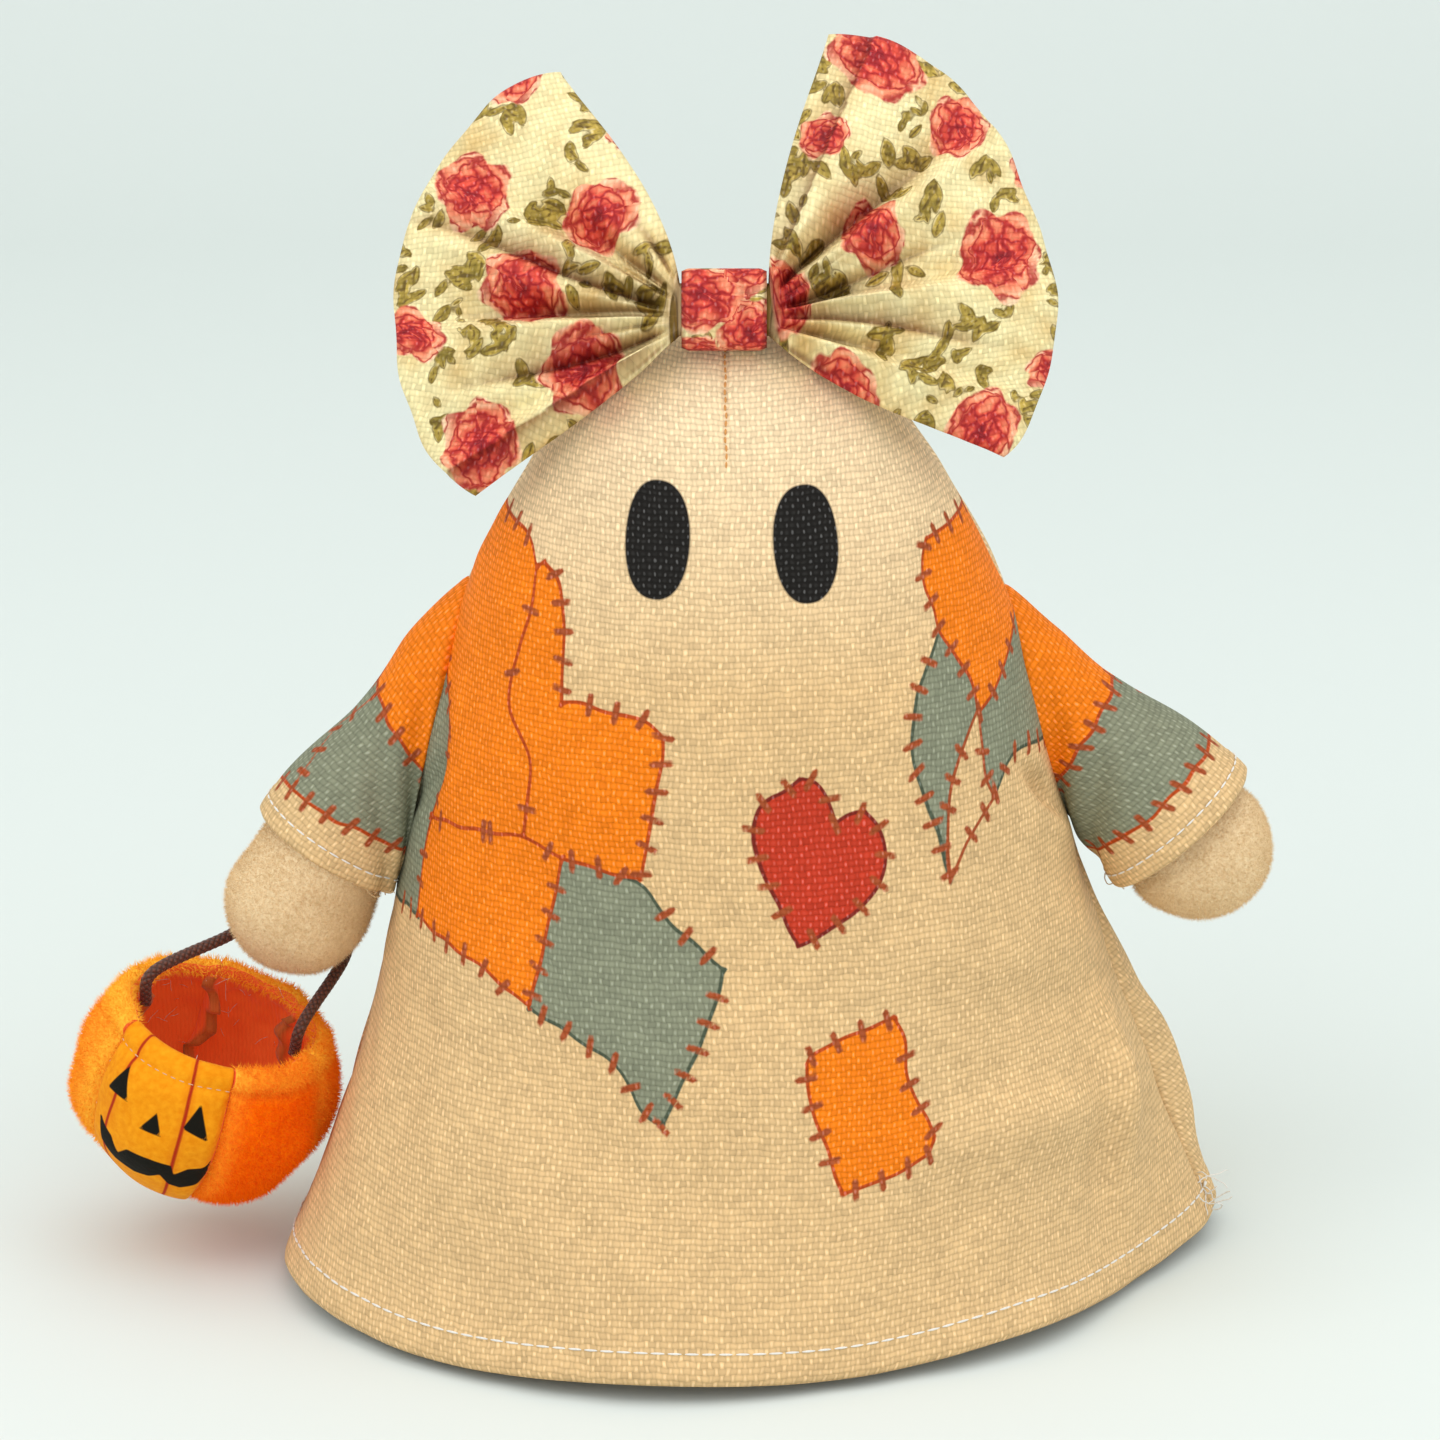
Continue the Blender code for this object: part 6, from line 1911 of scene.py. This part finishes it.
class BuildSleeves(bpy.types.Operator):
    """Make both sleeves with their printed bands and stitched cuffs"""

    bl_idname = "plush_ghost.sleeves"
    bl_options = {"REGISTER", "UNDO"}
    bl_label = "Sleeves"

    def execute(self, context):
        given = context.scene.plush_ghost
        white = material("white_thread", thread, tuple(given.seam_thread))
        fray = material("frayed_burlap_yarn", thread, tuple(given.burlap))
        for side in ARMS:
            piece, line = sleeve(side)
            stitches = sewn_line(f"cuff_thread_{side}", line, 2.4, 2.0, 0.36, white)
            dress(stitches, "burlap")
            arm, rng, ends = Arm(side), np.random.default_rng(SEED + 91), []
            edge = arm.length - arm.showing
            for _ in range(CUFF_LOOSE_ENDS):
                turned = np.array(rng.normal(-2.3, 0.35))
                start = arm.ring(np.array(edge - 0.5), *arm.sleeve_radii(np.array(edge)), turned)
                way = unit(arm.along(np.array(edge)) + rng.normal(0, 0.6, 3))
                ends.append(loose_thread(rng, start, way, rng.uniform(2.0, 4.5), 0.7))
            loose = dress(thread_tubes(f"cuff_loose_threads_{side}", ends, 0.1, fray), "burlap")
            cloth_piece(piece, "burlap", [f"sleeve_{side}"])
        return {"FINISHED"}


class BuildArms(bpy.types.Operator):
    """Make both stuffed arms and the short pile of their hands"""

    bl_idname = "plush_ghost.arms"
    bl_options = {"REGISTER", "UNDO"}
    bl_label = "Arms"

    def execute(self, context):
        given = context.scene.plush_ghost
        made = material("cream_mitt_plush", plush, tuple(given.hand_plush), linear("#DCBA8A"), 1300.0, 0.4)
        for side in ARMS:
            grid, reach, arm = arm_shape(side)
            piece = closed_piece(f"stuffed_arm_{side}", grid, made)
            dress(piece, "hand_plush", f"arm_{side}")
            shown = np.flatnonzero(reach[:, 0] > arm.length - arm.showing - 5)
            hand = grid[shown]
            pile = pile_on(f"hand_pile_{side}", hand, grid_faces(*hand.shape[:2]), given.pile_density * 1.5,
                           given.hand_pile_length / MM, 0.085, 0.9, SEED, made)
            dress(pile, "hand_plush")
        return {"FINISHED"}


class BuildBody(bpy.types.Operator):
    """Make the stuffed body, the bag of pellets in its foot and the finish of its base"""

    bl_idname = "plush_ghost.body"
    bl_options = {"REGISTER", "UNDO"}
    bl_label = "Body"

    def execute(self, context):
        body = closed_piece("stuffed_body_lining", body_grid(), material(
            "body_lining", lining, "#EEE7D8", "#CFC6B4", 70.0, 1.2))
        dress(body, "stuffing", "stuffed_body")
        bag = closed_piece("pellet_pouch", pellet_bag_grid(), material(
            "pellet_pouch_cloth", lining, "#E6E0D2", "#B9B2A2", 330.0, 0.8))
        dress(bag, "pellet_bag", "pellet_bag")
        board = material("base_board", lining, "#C7A273", "#A67F50", 600.0, 0.12)
        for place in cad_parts["base_disc"].material_slots:
            place.material = board
        return {"FINISHED"}


class BuildBow(bpy.types.Operator):
    """Make the bow's gathered wings and the knot round them"""

    bl_idname = "plush_ghost.bow"
    bl_options = {"REGISTER", "UNDO"}
    bl_label = "Bow"

    def execute(self, context):
        cloth_piece(bow_wings(), "floral_burlap", ["bow_wings"])
        cloth_piece(bow_knot(), "floral_burlap", ["bow_knot"])
        return {"FINISHED"}


class BuildBasket(bpy.types.Operator):
    """Make the pumpkin basket: its printed face, its plush panels and their pile, and the rim's thread"""

    bl_idname = "plush_ghost.basket"
    bl_options = {"REGISTER", "UNDO"}
    bl_label = "Pumpkin basket"

    def execute(self, context):
        given = context.scene.plush_ghost
        face = material("printed_plush_face", brushed_face, given)
        # The pile gets a painted highlight towards light orange where its field asks, and a faint painted glow in its
        # own colour
        made = material("brushed_orange_plush", plush, tuple(given.pumpkin_plush), linear("#EE5600"), 620.0, 0.8,
                        linear("#FFC440"), PILE_PAINTED_GLOW)
        white = material("white_thread", thread, tuple(given.seam_thread))
        dull = material("rim_sewing_thread", thread, linear("#E8C09A"))
        first = FACE_MIDDLE - FACE_WIDTH / 2
        panels = [("pumpkin_face_panel", "pumpkin_face", first, FACE_WIDTH, FACE_WALL, 73, face, True, 0.0)]
        for k, nap in enumerate(PANEL_PAINTED_LIGHT):
            start = first + FACE_WIDTH + k * GORE_SPAN
            panels.append((f"pumpkin_panel_{k + 1}", f"pumpkin_gore_{k + 1}", start, GORE_SPAN, PLUSH_WALL, 49,
                           made, False, nap))
        inside = [dress(seam_edges(wrong_side()), "pumpkin_plush"), dress(basket_lint(white), "pumpkin_plush")]
        for name, node, *shape, printed, nap in panels:
            panel, outer, inner, from_rim, shown = basket_panel(name, *shape, printed, nap)
            if printed:
                row = np.argmin(np.abs(from_rim[:, 0] - CUFF_DROP))
                line = outer[row, 2:-2]
                away = unit(line - in_basket(np.array((0.0, 0.0, 5.0))))
                stitches = sewn_line("rim_thread", line + away * 0.05, 1.6, 1.0, 0.2, dull)
                with_pieces = [*inside, dress(stitches, "pumpkin_face")]
            else:
                ground = np.concatenate([outer[2:], inner[::-1][:TURNED_ROWS]])
                # The panel's painted highlight goes on to its pile, round the rim too
                lit = np.concatenate([shown[2:], shown[::-1][:TURNED_ROWS]])
                pile = pile_on(f"basket_pile_{name[-1]}", ground, grid_faces(*ground.shape[:2]),
                               given.pile_density, given.pile_length / MM, 0.17, 0.95, SEED, made, lit)
                with_pieces = [dress(pile, "pumpkin_plush")]
            cloth_piece(panel, "pumpkin_face" if printed else "pumpkin_plush", [node])
        return {"FINISHED"}


class BuildStage(bpy.types.Operator):
    """Set the pale floor and backdrop, the soft lamps and the world"""

    bl_idname = "plush_ghost.stage"
    bl_options = {"REGISTER", "UNDO"}
    bl_label = "Stage"

    def execute(self, context):
        given = context.scene.plush_ghost
        sweep = [(-2.0, 0.0), (0.9, 0.0)]
        for k in range(1, 13):
            angle = math.pi / 2 * k / 12
            sweep.append((0.9 + 0.5 * math.sin(angle), 0.5 * (1 - math.cos(angle))))
        sweep.append((1.4, 3.0))
        points = [(x, y, z - 0.0002) for y, z in sweep for x in (-3.0, 3.0)]
        faces = [(2 * k, 2 * k + 1, 2 * k + 3, 2 * k + 2) for k in range(len(sweep) - 1)]
        mesh = bpy.data.meshes.new("backdrop")
        mesh.from_pydata(points, [], faces)
        mesh.shade_smooth()
        made, tree, shader = new_material("pale_paper", roughness=0.9, specular=0.2)
        shader.inputs["Base Color"].default_value = tuple(given.floor_colour)
        mesh.materials.append(made)
        backdrop = bpy.data.objects.new("backdrop", mesh)
        bpy.context.scene.collection.objects.link(backdrop)
        lamps = (
            ("key_lamp", (-1.0, -0.75, 1.15), 1.5, 7.1),
            ("fill_lamp", (1.2, -0.55, 0.8), 1.6, 4.7),
            ("top_lamp", (0.05, -0.1, 1.5), 1.9, 7.7),
            ("front_lamp", (0.1, -1.35, 0.4), 1.4, 2.25),
        )
        for name, place, size, power in lamps:
            lamp = bpy.data.lights.new(name, "AREA")
            lamp.shape, lamp.size, lamp.energy = "DISK", size, power
            holder = bpy.data.objects.new(name, lamp)
            holder.location = place
            holder.rotation_euler = (Vector((0, 0, 0.09)) - Vector(place)).to_track_quat("-Z", "Y").to_euler()
            bpy.context.scene.collection.objects.link(holder)
        world = bpy.data.worlds.new("studio")
        world.use_nodes = True
        bpy.context.scene.world = world
        tree = world.node_tree
        background = tree.nodes["Background"]
        background.inputs["Color"].default_value = linear("#F2F4F3")
        background.inputs["Strength"].default_value = 0.8
        view = bpy.context.scene.view_settings
        view.view_transform = "Standard"
        return {"FINISHED"}


OPERATORS = [
    BuildCamera, BuildHandle, BuildRobe, BuildSleeves, BuildArms, BuildBody, BuildBow, BuildBasket, BuildStage,
]


class PlushGhostPanel(bpy.types.Panel):
    """Lists the pieces and the settings"""

    bl_idname = "VIEW3D_PT_plush_ghost"
    bl_label = "Plush ghost"
    bl_space_type = "VIEW_3D"
    bl_region_type = "UI"
    bl_category = "Plush ghost"

    def draw(self, context):
        given = context.scene.plush_ghost
        for key in PlushGhostSettings.__annotations__:
            self.layout.prop(given, key)
        for kind in OPERATORS:
            self.layout.operator(kind.bl_idname)


CLASSES = [PlushGhostSettings, *OPERATORS, PlushGhostPanel]


def register():
    for kind in CLASSES:
        bpy.utils.register_class(kind)
    bpy.types.Scene.plush_ghost = PointerProperty(type=PlushGhostSettings)


def unregister():
    del bpy.types.Scene.plush_ghost
    for kind in reversed(CLASSES):
        bpy.utils.unregister_class(kind)


def main():
    register()
    for kind in OPERATORS:
        group, name = kind.bl_idname.split(".")
        getattr(getattr(bpy.ops, group), name)()


if __name__ == "__main__":
    main()
